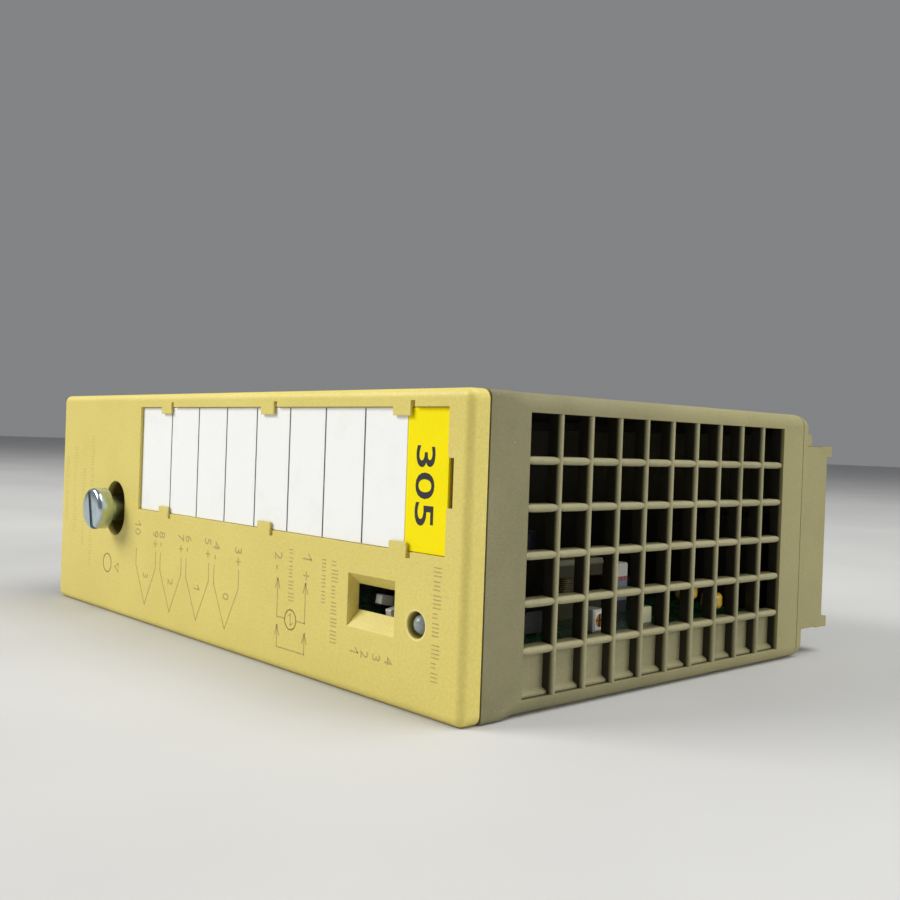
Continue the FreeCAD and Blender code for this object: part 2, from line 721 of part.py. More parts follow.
def lamp_lead_paths():
    leads = []
    for side in (-0.5, 0.5):
        x = LAMP_X + side * LEAD_PITCH
        y_bend = LAMP_BASE_Y + HOLDER_DEPTH - LEAD_BEND_INSET
        z = LAMP_Z
        run = block(
            x - LEAD_W / 2, x + LEAD_W / 2, LAMP_BASE_Y, y_bend, z - LEAD_W / 2, z + LEAD_W / 2
        )
        drop = block(
            x - LEAD_W / 2, x + LEAD_W / 2, y_bend - LEAD_W, y_bend, BOARD_TOP, z + LEAD_W / 2
        )
        leads.append(run.fuse(drop))
    return leads


def lamp_holder():
    block_shape = block(
        LAMP_X - HOLDER_W / 2, LAMP_X + HOLDER_W / 2,
        LAMP_BASE_Y, LAMP_BASE_Y + HOLDER_DEPTH,
        BOARD_TOP, LAMP_Z + HOLDER_W / 2,
    )
    front_top = edges_where(
        block_shape,
        lambda e: e.BoundBox.ZMin > LAMP_Z and abs(e.tangentAt(e.FirstParameter).x) > 0.9,
    )
    return block_shape.makeChamfer(HOLDER_CHAMFER, front_top).cut(lamp_lead_paths())


# ---------------------------------------------------------------- board and its parts
def circuit_board():
    board = block(BOARD_X0, BOARD_X1, BOARD_Y0, BOARD_Y1, BOARD_Z0, BOARD_TOP)
    corners = edges_where(board, lambda e: abs(e.tangentAt(e.FirstParameter).z) > 0.9)
    board = board.makeChamfer(BOARD_CHAMFER, corners)
    holes = [
        rod_z(x, y, TOOLING_HOLE_R, BOARD_Z0 - 1, BOARD_TOP + 1)
        for x in TOOLING_XS
        for y in TOOLING_YS
    ]
    return board.cut(holes)


def transformer_core():
    """Two ferrite legs and yokes round the bobbin."""
    mid_x = (COIL_X0 + COIL_X1) / 2
    x0, x1 = mid_x - CORE_W / 2, mid_x + CORE_W / 2
    z0 = BOARD_TOP + COIL_FOOT
    ring = block(x0, x1, COIL_Y0, COIL_Y1, z0, COIL_TOP)
    hollow = block(
        x0 - 1, x1 + 1,
        COIL_Y0 + CORE_LEG, COIL_Y1 - CORE_LEG,
        z0 + CORE_LEG, COIL_TOP - CORE_LEG,
    )
    return ring.cut(hollow)


def transformer_bobbin(core):
    """Top and bottom flanges joined by the square tube that carries the winding."""
    mid_x = (COIL_X0 + COIL_X1) / 2
    mid_y = (COIL_Y0 + COIL_Y1) / 2
    neck_z0 = BOARD_TOP + COIL_FOOT + CORE_LEG
    neck_z1 = COIL_TOP - CORE_LEG
    neck = block(
        mid_x - FORMER_X_HALF, mid_x + FORMER_X_HALF,
        mid_y - FORMER_Y_HALF, mid_y + FORMER_Y_HALF,
        neck_z0, neck_z1,
    )
    upper = block(COIL_X0, COIL_X1, COIL_Y0, COIL_Y1, COIL_TOP - CORE_LEG - COIL_FLANGE, COIL_TOP)
    lower = block(COIL_X0, COIL_X1, COIL_Y0, COIL_Y1, BOARD_TOP, neck_z0 + COIL_FLANGE)
    return neck.fuse([upper, lower]).cut(core)


def transformer_winding(core, bobbin):
    """The taped winding between the flanges."""
    z0 = BOARD_TOP + COIL_FOOT + CORE_LEG + COIL_FLANGE
    z1 = COIL_TOP - CORE_LEG - COIL_FLANGE
    form = block(
        COIL_X0 + COIL_INSET, COIL_X1 - COIL_INSET,
        COIL_Y0 + CORE_LEG, COIL_Y1 - CORE_LEG,
        z0, z1,
    )
    uprights = edges_where(form, lambda e: abs(e.tangentAt(e.FirstParameter).z) > 0.9)
    return form.makeFillet(COIL_CORNER_R, uprights).cut([bobbin, core])


def trimmer_centre():
    return (TRIMMER_Y0 + TRIMMER_Y1) / 2, BOARD_TOP + TRIMMER_H / 2


def trimmer_body():
    y, z = trimmer_centre()
    body = block(
        TRIMMER_X0, TRIMMER_X1, TRIMMER_Y0, TRIMMER_Y1, BOARD_TOP, BOARD_TOP + TRIMMER_H
    )
    edges = edges_where(body, lambda e: e.BoundBox.XMin > TRIMMER_X1 - 0.01)
    body = body.makeChamfer(TRIMMER_CHAMFER, edges)
    socket_x0 = TRIMMER_X1 - ROTOR_DEPTH - ROTOR_CLEARANCE
    return body.cut(rod_x(y, z, ROTOR_R + ROTOR_CLEARANCE, socket_x0, TRIMMER_X1 + 1))


def trimmer_rotor():
    """The slotted disc that sets the trimmer."""
    y, z = trimmer_centre()
    rotor = rod_x(y, z, ROTOR_R, TRIMMER_X1 - ROTOR_DEPTH, TRIMMER_X1 - ROTOR_SUNK)
    half = ROTOR_SLOT / 2
    x0 = TRIMMER_X1 - ROTOR_SLOT_DEPTH
    upright = block(x0, TRIMMER_X1 + 1, y - half, y + half, z - ROTOR_R - 1, z + ROTOR_R + 1)
    across = block(x0, TRIMMER_X1 + 1, y - ROTOR_R - 1, y + ROTOR_R + 1, z - half, z + half)
    return rotor.cut([upright, across])


def boxed_part(x0, x1, y0, y1, height, corner):
    """A moulded or dipped part with rounded upright and top edges."""
    part = block(x0, x1, y0, y1, BOARD_TOP, BOARD_TOP + height)
    edges = edges_where(part, lambda e: e.BoundBox.ZMax > BOARD_TOP + corner)
    return part.makeFillet(corner, edges)


def film_capacitors():
    return [boxed_part(*spec, corner=FILM_CORNER_R) for spec in FILM_CAPACITORS]


def ceramic_capacitors():
    return [boxed_part(*spec, corner=CERAMIC_CORNER_R) for spec in CERAMIC_CAPACITORS]


def dipped_capacitor(x, y, lift):
    """A dipped bead on two legs."""
    z0 = BOARD_TOP + lift
    cylinder = rod_z(x, y, TANTALUM_R, z0, z0 + TANTALUM_LENGTH)
    rims = edges_where(cylinder, lambda e: e.Length > 2 * TANTALUM_R * 3)
    return cylinder.makeFillet(TANTALUM_R * BEAD_ROUNDING, rims)


def tantalum_capacitors():
    spots = zip(TANTALUM_CAPACITORS, TANTALUM_LIFT)
    return [dipped_capacitor(x, y, lift) for (x, y), lift in spots]


def capacitor_legs():
    legs = []
    for (x, y), lift in zip(TANTALUM_CAPACITORS, TANTALUM_LIFT):
        for side in (-1, 1):
            legs.append(rod_z(x, y + side * LEG_SPREAD / 2, LEG_R, BOARD_TOP, BOARD_TOP + lift))
    return legs


def electrolytic_capacitors():
    cans = []
    for x, y, radius, height in ELECTROLYTICS:
        can = rod_z(x, y, radius, BOARD_TOP, BOARD_TOP + height)
        rims = edges_where(can, lambda e: e.Length > 2 * radius * 3)
        can = can.makeFillet(CAN_RIM_R, rims)
        centre = Vector(x, y, BOARD_TOP + CAN_GROOVE_H)
        groove = Part.makeTorus(radius + CAN_GROOVE_OFFSET, CAN_GROOVE_R, centre, Z_AXIS)
        cans.append(can.cut(groove))
    return cans


def package_body(x, y, legs, width):
    half = legs * LEG_PITCH / 2
    z0 = BOARD_TOP + PACKAGE_LIFT
    body = block(x - half, x + half, y - width / 2, y + width / 2, z0, z0 + PACKAGE_H)
    z1 = z0 + PACKAGE_H
    notch = rod_z(x - half, y, PIN_ONE_R, z1 - PIN_ONE_DEPTH, z1 + 1)
    long_top = edges_where(
        body, lambda e: e.BoundBox.ZMin > z0 + 1 and abs(e.tangentAt(e.FirstParameter).x) > 0.9
    )
    return body.makeChamfer(PACKAGE_CHAMFER, long_top).cut(notch)


def package_legs(x, y, legs, width):
    """Bent legs down both long sides."""
    shapes = []
    z_shoulder = BOARD_TOP + PACKAGE_LIFT + PACKAGE_H / 2
    for index in range(legs):
        leg_x = x + (index - (legs - 1) / 2) * LEG_PITCH
        for side in (-1, 1):
            inner = y + side * width / 2
            outer = inner + side * SHOULDER_L
            y0, y1 = sorted((inner, outer))
            shoulder = block(
                leg_x - LEG_W, leg_x + LEG_W, y0, y1, z_shoulder - LEG_T, z_shoulder
            )
            y0, y1 = sorted((outer, outer - side * LEG_T))
            drop = block(leg_x - LEG_W / 2, leg_x + LEG_W / 2, y0, y1, BOARD_TOP, z_shoulder)
            shapes.append(shoulder.fuse(drop))
    return shapes


def logic_packages():
    return [package_body(*spec) for spec in PACKAGES]


def optocoupler_bodies():
    return [package_body(x, y, OPTO_LEGS, PACKAGE_W) for x, y in OPTOCOUPLERS]


def all_package_legs():
    legs = []
    for spec in PACKAGES:
        legs += package_legs(*spec)
    for x, y in OPTOCOUPLERS:
        legs += package_legs(x, y, OPTO_LEGS, PACKAGE_W)
    return legs


def resistor_bodies():
    bodies = []
    z = BOARD_TOP + RESISTOR_LIFT + RESISTOR_R
    for index in range(RESISTOR_COUNT):
        x = RESISTOR_X0 + index * RESISTOR_PITCH
        body = rod_y(x, z, RESISTOR_R, RESISTOR_Y0, RESISTOR_Y1)
        rims = edges_where(body, lambda e: e.Length > 2 * RESISTOR_R * 3)
        bodies.append(body.makeFillet(RESISTOR_RIM_R, rims))
    return bodies


def resistor_leads():
    leads = []
    z = BOARD_TOP + RESISTOR_LIFT + RESISTOR_R
    for index in range(RESISTOR_COUNT):
        x = RESISTOR_X0 + index * RESISTOR_PITCH
        for end, sign in ((RESISTOR_Y0, -1), (RESISTOR_Y1, 1)):
            y_far = end + sign * RESISTOR_REACH
            y0, y1 = sorted((end, y_far))
            run = rod_y(x, z, LEG_R, y0, y1)
            drop = rod_z(x, y_far - sign * LEAD_INSET, LEAD_DROP_R, BOARD_TOP, z)
            leads.append(run.fuse(drop))
    return leads


def crystal_can():
    """The clock crystal, a low oval can lying on the board."""
    x0, x1 = CRYSTAL_X - CRYSTAL_HALF, CRYSTAL_X + CRYSTAL_HALF
    z1 = BOARD_TOP + CRYSTAL_H
    middle = block(x0, x1, CRYSTAL_Y - CRYSTAL_R, CRYSTAL_Y + CRYSTAL_R, BOARD_TOP, z1)
    ends = [rod_z(x, CRYSTAL_Y, CRYSTAL_R, BOARD_TOP, z1) for x in (x0, x1)]
    can = middle.fuse(ends).removeSplitter()
    top = edges_where(can, lambda e: e.BoundBox.ZMin > z1 - 0.1)
    return can.makeFillet(CRYSTAL_EDGE_R, top)


def solder_joints():
    """Small cones under the board below each row of legs."""
    joints = []
    for x, y, legs, width in PACKAGES:
        for index in range(legs):
            leg_x = x + (index - (legs - 1) / 2) * LEG_PITCH
            for side in (-1, 1):
                foot = Vector(leg_x, y + side * (width / 2 + JOINT_REACH), BOARD_Z0 - JOINT_H)
                joints.append(Part.makeCone(JOINT_TIP_R, JOINT_FOOT_R, JOINT_H, foot, Z_AXIS))
    return joints


# ---------------------------------------------------------------- rear connector
def contact_pins(x0, pitch, count):
    """Angled pins: out to the rear in two rows, and down to the board in front."""
    pins = []
    half = PIN_W / 2
    for row, z in enumerate(PIN_ROWS_Z):
        y_bend = PIN_BEND_Y[row]
        for index in range(count):
            x = x0 + index * pitch
            run = block(x - half, x + half, y_bend, PIN_END_Y, z - half, z + half)
            drop = block(x - half, x + half, y_bend, y_bend + PIN_W, BOARD_TOP, z + half)
            end_edges = edges_where(run, lambda e: e.BoundBox.YMin > PIN_END_Y - 0.01)
            pins.append(run.makeChamfer(PIN_TIP_CHAMFER, end_edges).fuse(drop))
    return pins


def contact_hood():
    """The skirt of the carrier that hides the bent pins from the board side."""
    outside = block(CARRIER_X0, CARRIER_X1, HOOD_Y0, CARRIER_Y0, HOOD_Z0, CARRIER_Z1)
    inside = block(
        CARRIER_X0 + HOOD_T, CARRIER_X1 - HOOD_T,
        HOOD_Y0 + HOOD_T, CARRIER_Y0 + 1,
        HOOD_Z0 - 1, CARRIER_Z1 - HOOD_T,
    )
    return outside.cut(inside)


def contact_carrier(pins):
    body = block(CARRIER_X0, CARRIER_X1, CARRIER_Y0, CARRIER_FACE_Y, CARRIER_Z0, CARRIER_Z1)
    last_terminal_x = TERMINAL_X0 + (TERMINALS_PER_ROW - 1) * TERMINAL_PITCH
    divider_x = (last_terminal_x + BUS_X0) / 2
    groove = block(
        divider_x - DIVIDER_HALF_W, divider_x + DIVIDER_HALF_W,
        CARRIER_FACE_Y - DIVIDER_DEPTH, CARRIER_FACE_Y + 1,
        CARRIER_Z0 - 1, CARRIER_Z1 + 1,
    )
    return body.fuse(contact_hood()).cut(groove).cut(pins)


def coding_key():
    """A disc let into the rear with a half-round cam that only fits one kind of slot."""
    disc = rod_y(CODING_X, CODING_Z, CODING_R, BODY_DEPTH - CODING_SEAT, BODY_DEPTH + CODING_BASE_T)
    cam = rod_y(
        CODING_X, CODING_Z, CODING_CAM_R, BODY_DEPTH, BODY_DEPTH + CODING_BASE_T + CODING_CAM_L
    )
    flat = block(
        CODING_X + CODING_FLAT, CODING_X + CODING_CAM_R + 1,
        BODY_DEPTH + CODING_BASE_T, BODY_DEPTH + CODING_BASE_T + CODING_CAM_L + 1,
        CODING_Z - CODING_CAM_R - 1, CODING_Z + CODING_CAM_R + 1,
    )
    return disc.fuse(cam).cut(flat)


# ---------------------------------------------------------------- build all pieces
def build():
    os.makedirs("parts", exist_ok=True)
    form = envelope()
    grille = end_grille()
    save("housing_shell", [housing_shell(form)])
    save("top_grille", [grille])
    save("bottom_grille", [mirrored_ends(grille)])
    save("rear_cover", [rear_cover(form)])
    save("connector_shroud", [connector_shroud()])
    save("front_cover", [front_cover()])
    save("label_strip", [label_card(RECESS_X0 + FIT_GAP, CARD_SPLIT_X)])
    save("slot_label", [label_card(CARD_SPLIT_X + CARD_GAP, RECESS_X1 - 2 * FIT_GAP)])
    save("fixing_screw", [fixing_screw()])
    save("retaining_ring", [retaining_ring()])
    save("dip_switch_body", [dip_switch_body()])
    for index in range(LEVER_COUNT):
        save(f"dip_lever_{index + 1}", [dip_lever(index)])
    save("status_lamp", [status_lamp()])
    save("lamp_holder", [lamp_holder()])
    save("lamp_leads", lamp_lead_paths())
    save("circuit_board", [circuit_board()])
    core = transformer_core()
    bobbin = transformer_bobbin(core)
    save("transformer_core", [core])
    save("transformer_bobbin", [bobbin])
    save("transformer_winding", [transformer_winding(core, bobbin)])
    save("trimmer_body", [trimmer_body()])
    save("trimmer_rotor", [trimmer_rotor()])
    save("film_capacitors", film_capacitors())
    save("ceramic_capacitors", ceramic_capacitors())
    save("tantalum_capacitors", tantalum_capacitors())
    save("capacitor_legs", capacitor_legs())
    save("electrolytic_capacitors", electrolytic_capacitors())
    save("logic_packages", logic_packages())
    save("optocouplers", optocoupler_bodies())
    save("package_legs", all_package_legs())
    save("input_resistors", resistor_bodies())
    save("resistor_leads", resistor_leads())
    save("crystal", [crystal_can()])
    save("solder_joints", solder_joints())
    terminals = contact_pins(TERMINAL_X0, TERMINAL_PITCH, TERMINALS_PER_ROW)
    bus = contact_pins(BUS_X0, BUS_PITCH, BUS_PER_ROW)
    save("contact_carrier", [contact_carrier(terminals + bus)])
    save("terminal_contacts", terminals)
    save("bus_contacts", bus)
    save("coding_key", [coding_key()])


build()
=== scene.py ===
import json
import math
import random

import bmesh
import bpy
from mathutils import Matrix, Vector


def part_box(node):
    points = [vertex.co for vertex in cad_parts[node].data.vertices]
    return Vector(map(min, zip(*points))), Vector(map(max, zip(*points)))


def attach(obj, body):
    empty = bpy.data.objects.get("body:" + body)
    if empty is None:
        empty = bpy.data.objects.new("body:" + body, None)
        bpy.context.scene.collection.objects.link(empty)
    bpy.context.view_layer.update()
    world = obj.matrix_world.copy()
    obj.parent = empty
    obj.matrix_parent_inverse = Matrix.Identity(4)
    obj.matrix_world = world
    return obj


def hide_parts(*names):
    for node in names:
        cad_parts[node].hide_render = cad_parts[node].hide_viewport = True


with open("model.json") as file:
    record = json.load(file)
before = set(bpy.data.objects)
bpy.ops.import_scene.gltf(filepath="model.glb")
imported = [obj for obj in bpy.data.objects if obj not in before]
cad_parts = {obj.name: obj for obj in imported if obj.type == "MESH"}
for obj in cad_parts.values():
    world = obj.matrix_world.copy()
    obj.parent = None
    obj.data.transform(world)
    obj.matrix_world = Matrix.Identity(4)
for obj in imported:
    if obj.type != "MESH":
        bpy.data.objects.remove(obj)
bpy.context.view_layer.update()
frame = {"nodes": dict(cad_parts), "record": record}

MM = 0.001
NODES = frame["nodes"]
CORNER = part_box("front_cover")[0]
MODULE = "module_body"

# ------------------------------------------------------------------ sizes in millimetres
LENGTH = 135.0
CELL = 6.7
GRID_Y0 = 11.5
GRID_Z0 = 2.35
COLUMNS, ROWS = 10, 6
RIB_W, RIB_DRAFT = 0.86, 0.12
BAR_W, BAR_END_W = 1.18, 0.98
WEB_DEPTH = 2.4
NOSE_SEGMENTS = 6
BLIND_RECESS, BLIND_WALL = 2.0, 1.2
WEB_SHADE_DEPTH = 0.8
INNER_SHADE_X = (2.1, 1.7)
INNER_SHADE_Z = (1.5, 43.9)
REVEAL_SHADE_X = (0.8, 0.3)
REVEAL_MARGIN = 0.2
LAMP_X, LAMP_Z = 125.25, 12.5
# radii of the painted highlight round the lamp hole
RIM_HIGHLIGHT_R0, RIM_HIGHLIGHT_R1 = 1.95, 2.2
# radius of a hole, then the depths where its shade starts and is full
POCKET_SHADE = (6.0, 0.2, 1.4)
LAMP_HOLE_SHADE = (2.0, 0.1, 0.8)
NOTCH_LOW, NOTCH_HIGH = (129.7, 0.2, 29.0), (131.6, 1.0, 36.0)
MARK_T = 0.02
MARK_SINK = 0.03
LINE_W = 0.2
SIDE_SIGN_LINE_W = 0.22
WAVE_LINE_W = 0.16
ARROW_HEAD_L, ARROW_HEAD_HALF_W, ARROW_HEAD_LINE_W = 1.5, 0.62, 0.24
CAP_HEIGHT_SHARE = 0.72
CARD_FACE_Y = 0.55
RULE_XS = (51.1, 61.5, 71.55, 81.5, 91.6, 101.55, 111.6)
CARD_Z0, CARD_Z1 = 22.6, 42.65


def spot(x, y, z):
    """A place on the module, measured from the lower front corner of its cover."""
    return CORNER + Vector((x, y, z)) * MM


# ------------------------------------------------------------------ camera
CAMERA_AZIMUTH = 47.79
CAMERA_ELEVATION = 0.4422
CAMERA_ROLL = 2.019
CAMERA_SPOT = (234.10, -93.475, 38.03)
CAMERA_LENS = 41.496
CAMERA_SENSOR_W = 36
CAMERA_CLIP_START = 0.01


def set_camera():
    turn = math.radians(CAMERA_AZIMUTH)
    lift = math.radians(CAMERA_ELEVATION)
    roll = math.radians(CAMERA_ROLL)
    flat = math.cos(lift)
    forward = Vector((-math.sin(turn) * flat, math.cos(turn) * flat, -math.sin(lift)))
    right = forward.cross(Vector((0, 0, 1))).normalized()
    up = right.cross(forward)
    rolled_right = right * math.cos(roll) + up * math.sin(roll)
    rolled_up = up * math.cos(roll) - right * math.sin(roll)
    axes = Matrix((rolled_right, rolled_up, -forward)).transposed()
    data = bpy.data.cameras.new("studio_camera")
    data.lens = CAMERA_LENS
    data.sensor_width = CAMERA_SENSOR_W
    data.clip_start = CAMERA_CLIP_START
    camera = bpy.data.objects.new("studio_camera", data)
    camera.matrix_world = Matrix.Translation(spot(*CAMERA_SPOT)) @ axes.to_4x4()
    bpy.context.scene.collection.objects.link(camera)
    bpy.context.scene.camera = camera


# ------------------------------------------------------------------ material tools
def new_material(name):
    material = bpy.data.materials.new(name)
    material.use_nodes = True
    tree = material.node_tree
    return material, tree, tree.nodes["Principled BSDF"]


def add(tree, kind, inputs=None, **settings):
    node = tree.nodes.new("ShaderNode" + kind)
    for key, value in settings.items():
        setattr(node, key, value)
    for key, value in (inputs or {}).items():
        if isinstance(value, bpy.types.NodeSocket):
            tree.links.new(value, node.inputs[key])
        else:
            node.inputs[key].default_value = value
    return node


def place(tree, stretch=(1, 1, 1)):
    """Object coordinates in millimetres, stretched for a pattern that runs one way."""
    source = add(tree, "TexCoord").outputs["Object"]
    scale = [part / MM for part in stretch]
    return add(tree, "Mapping", {"Vector": source, "Scale": scale}).outputs["Vector"]


def noise(tree, per_mm, detail=4.0, rough=0.5, stretch=(1, 1, 1)):
    where = place(tree, stretch)
    settings = {"Vector": where, "Scale": per_mm, "Detail": detail, "Roughness": rough}
    return add(tree, "TexNoise", settings).outputs["Fac"]


def cells(tree, per_mm, feature="F1", stretch=(1, 1, 1)):
    where = place(tree, stretch)
    node = add(tree, "TexVoronoi", {"Vector": where, "Scale": per_mm}, feature=feature)
    return node.outputs["Distance"]


def fade(tree, value, low, high, out_low=0.0, out_high=1.0):
    """value taken from low..high to out_low..out_high, held at the ends."""
    settings = {
        "Value": value,
        "From Min": low,
        "From Max": high,
        "To Min": out_low,
        "To Max": out_high,
    }
    return add(tree, "MapRange", settings).outputs["Result"]


def mixed(tree, share, first, second, blend="MIX"):
    node = add(tree, "Mix", data_type="RGBA", blend_type=blend)
    for index, value in ((0, share), (6, first), (7, second)):
        if isinstance(value, bpy.types.NodeSocket):
            tree.links.new(value, node.inputs[index])
        elif index:
            node.inputs[index].default_value = (*value, 1)
        else:
            node.inputs[index].default_value = value
    return node.outputs[2]


def reckon(tree, operation, first, second=0.0):
    return add(tree, "Math", {0: first, 1: second}, operation=operation).outputs[0]


def along(tree, axis):
    """One Object coordinate, in metres."""
    source = add(tree, "TexCoord").outputs["Object"]
    return add(tree, "SeparateXYZ", {"Vector": source}).outputs[axis]


def band(tree, value, low, high, soft):
    """1 between low and high, 0 outside, with a soft edge."""
    rise = fade(tree, value, low - soft, low + soft)
    fall = fade(tree, value, high - soft, high + soft, 1.0, 0.0)
    return reckon(tree, "MULTIPLY", rise, fall)


def raise_surface(tree, shader, height, depth_mm, edge_mm=0.0):
    """Bump from height, over edges rounded by edge_mm."""
    bump = add(tree, "Bump", {"Height": height, "Strength": 1.0, "Distance": depth_mm * MM})
    if edge_mm:
        edge = add(tree, "Bevel", {"Radius": edge_mm * MM}, samples=4)
        tree.links.new(edge.outputs["Normal"], bump.inputs["Normal"])
    tree.links.new(bump.outputs["Normal"], shader.inputs["Normal"])


def link(tree, value, shader, socket):
    tree.links.new(value, shader.inputs[socket])


# ------------------------------------------------------------------ plastics
def moulded(name, light, dark, rough, grain, edge=0.25, aged=None, dust=0.0, sheen=0.5):
    """A moulded plastic with cloudy colour, spark-worn grain, handling marks and dust."""
    material, tree, shader = new_material(name)
    cloud = fade(tree, noise(tree, 0.07, 5.0, 0.6), 0.32, 0.68)
    colour = mixed(tree, cloud, dark, light)
    if aged:
        tint, start_mm, end_mm = aged
        rear = fade(tree, along(tree, "Y"), start_mm * MM, end_mm * MM)
        colour = mixed(tree, rear, colour, mixed(tree, cloud, [c * 0.9 for c in tint], tint))
    fleck = fade(tree, noise(tree, 2.3, 2.0, 0.7), 0.35, 0.75, 0.93, 1.06)
    fleck_colour = add(tree, "CombineColor", {"Red": fleck, "Green": fleck, "Blue": fleck})
    colour = mixed(tree, 1.0, colour, fleck_colour.outputs["Color"], "MULTIPLY")
    if dust:
        spread = fade(tree, noise(tree, 0.09, 3.0), 0.42, 0.66)
        speck = fade(tree, cells(tree, 1.15), 0.07, 0.15, 1.0, 0.0)
        chosen = reckon(tree, "MULTIPLY", speck, fade(tree, noise(tree, 0.8), 0.55, 0.62))
        share = reckon(tree, "MULTIPLY", reckon(tree, "MULTIPLY", chosen, spread), dust)
        colour = mixed(tree, share, colour, (0.86, 0.85, 0.76))
    link(tree, colour, shader, "Base Color")
    smear = noise(tree, 0.16, 4.0, 0.65, (1, 1, 0.35))
    link(tree, fade(tree, smear, 0.3, 0.7, rough - 0.07, rough + 0.09), shader, "Roughness")
    drag = fade(tree, noise(tree, 1.7, 2.0, 0.5, (0.03, 1, 1)), 0.70, 0.73, 0.0, 0.5)
    texture = reckon(tree, "SUBTRACT", noise(tree, 5.2, 3.0, 0.55), drag)
    raise_surface(tree, shader, texture, grain, edge)
    shader.inputs["Specular IOR Level"].default_value = sheen
    return material


def plain_plastic(name, light, dark, rough, edge=0.1):
    material, tree, shader = new_material(name)
    cloud = fade(tree, noise(tree, 0.5, 4.0), 0.35, 0.65)
    link(tree, mixed(tree, cloud, dark, light), shader, "Base Color")
    link(tree, fade(tree, noise(tree, 1.4), 0.3, 0.7, rough - 0.08, rough + 0.1), shader, "Roughness")
    raise_surface(tree, shader, noise(tree, 6.0, 3.0), 0.012, edge)
    return material


def card(name, light, dark, gloss):
    """Printed card: smooth, with faint fibre and a little grime in broad patches."""
    material, tree, shader = new_material(name)
    fibre = noise(tree, 3.4, 4.0, 0.6, (1, 1, 0.4))
    grime = fade(tree, noise(tree, 0.12, 5.0, 0.6), 0.55, 0.8, 0.0, 0.5)
    colour = mixed(tree, fade(tree, fibre, 0.3, 0.7), [c * 0.975 for c in light], light)
    link(tree, mixed(tree, grime, colour, dark), shader, "Base Color")
    link(tree, fade(tree, fibre, 0.3, 0.7, 0.4, 0.56), shader, "Roughness")
    raise_surface(tree, shader, fibre, 0.004)
    shader.inputs["Specular IOR Level"].default_value = gloss
    return material


# ------------------------------------------------------------------ metals
def plated(name, light, dark, rough, stain=None, scratch_way=(1, 1, 1), bump_mm=0.01, edge=0.12):
    """Plated or tinned metal with fine tool marks and patches of haze."""
    material, tree, shader = new_material(name)
    cloud = fade(tree, noise(tree, 0.55, 5.0, 0.6), 0.34, 0.66)
    colour = mixed(tree, cloud, dark, light)
    if stain:
        patch = fade(tree, noise(tree, 0.35, 3.0), 0.52, 0.68, 0.0, 0.55)
        colour = mixed(tree, patch, colour, stain)
    link(tree, colour, shader, "Base Color")
    marks = noise(tree, 2.6, 5.0, 0.65, scratch_way)
    link(tree, fade(tree, marks, 0.3, 0.7, rough - 0.07, rough + 0.12), shader, "Roughness")
    raise_surface(tree, shader, marks, bump_mm, edge)
    shader.inputs["Metallic"].default_value = 1.0
    return material


# ------------------------------------------------------------------ inner parts
def board_finish():
    """Green mask over tracks, pads and the weave of the laminate."""
    material, tree, shader = new_material("solder_mask")
    settings = {"Vector": place(tree), "Scale": 0.19, "Mortar Size": 0.035, "Mortar Smooth": 0.1}
    tracks = add(tree, "TexBrick", settings).outputs["Fac"]
    weave = add(tree, "TexWave", {"Vector": place(tree), "Scale": 0.9, "Distortion": 1.0})
    # the mask's own dark green, made darker still as painted shade inside the case
    mask = mixed(tree, tracks, (0.006, 0.045, 0.015), (0.016, 0.095, 0.03))
    edge = fade(tree, along(tree, "Z"), 8.2 * MM, 8.6 * MM, 1.0, 0.0)
    outer = fade(tree, along(tree, "X"), 63.8 * MM, 64.0 * MM)
    rim = reckon(tree, "MULTIPLY", outer, fade(tree, edge, 0.0, 1.0, 0.8, 1.0))
    link(tree, mixed(tree, rim, mask, (0.42, 0.55, 0.22)), shader, "Base Color")
    link(tree, fade(tree, noise(tree, 0.8), 0.3, 0.7, 0.22, 0.38), shader, "Roughness")
    height = reckon(tree, "ADD", tracks, reckon(tree, "MULTIPLY", weave.outputs["Fac"], 0.2))
    raise_surface(tree, shader, height, 0.02)
    return material


def film_box_finish():
    """A potted box: white above, a red printed line, blue-grey below and a dark foot, with painted shade on
    its faces turned front and back.
    """
    material, tree, shader = new_material("printed_film_box")
    height = along(tree, "Z")
    foot_z, print_z, white_z = 11.35 * MM, 14.7 * MM, 15.5 * MM
    upper = fade(tree, height, white_z - 0.05 * MM, white_z + 0.05 * MM)
    lower = fade(tree, height, foot_z - 0.1 * MM, foot_z + 0.1 * MM)
    body = mixed(tree, lower, (0.05, 0.055, 0.06), (0.27, 0.33, 0.41))
    colour = mixed(tree, upper, body, (0.86, 0.84, 0.76))
    print_band = band(tree, height, print_z, white_z, 0.04 * MM)
    strokes = fade(tree, noise(tree, 1.6, 2.0, 0.5, (1, 1, 0.2)), 0.47, 0.5)
    share = reckon(tree, "MULTIPLY", print_band, strokes)
    colour = mixed(tree, share, colour, (0.62, 0.06, 0.03))
    link(tree, colour, shader, "Base Color")
    # painted shade on the faces that look along Y
    facing = add(tree, "SeparateXYZ", {"Vector": add(tree, "NewGeometry").outputs["True Normal"]})
    side = fade(tree, reckon(tree, "ABSOLUTE", facing.outputs["Y"]), 0.6, 0.8)
    darken(material, side, (0.16, 0.12, 0.04))
    link(tree, fade(tree, noise(tree, 0.9), 0.3, 0.7, 0.3, 0.46), shader, "Roughness")
    raise_surface(tree, shader, noise(tree, 2.2), 0.02, 0.15)
    return material


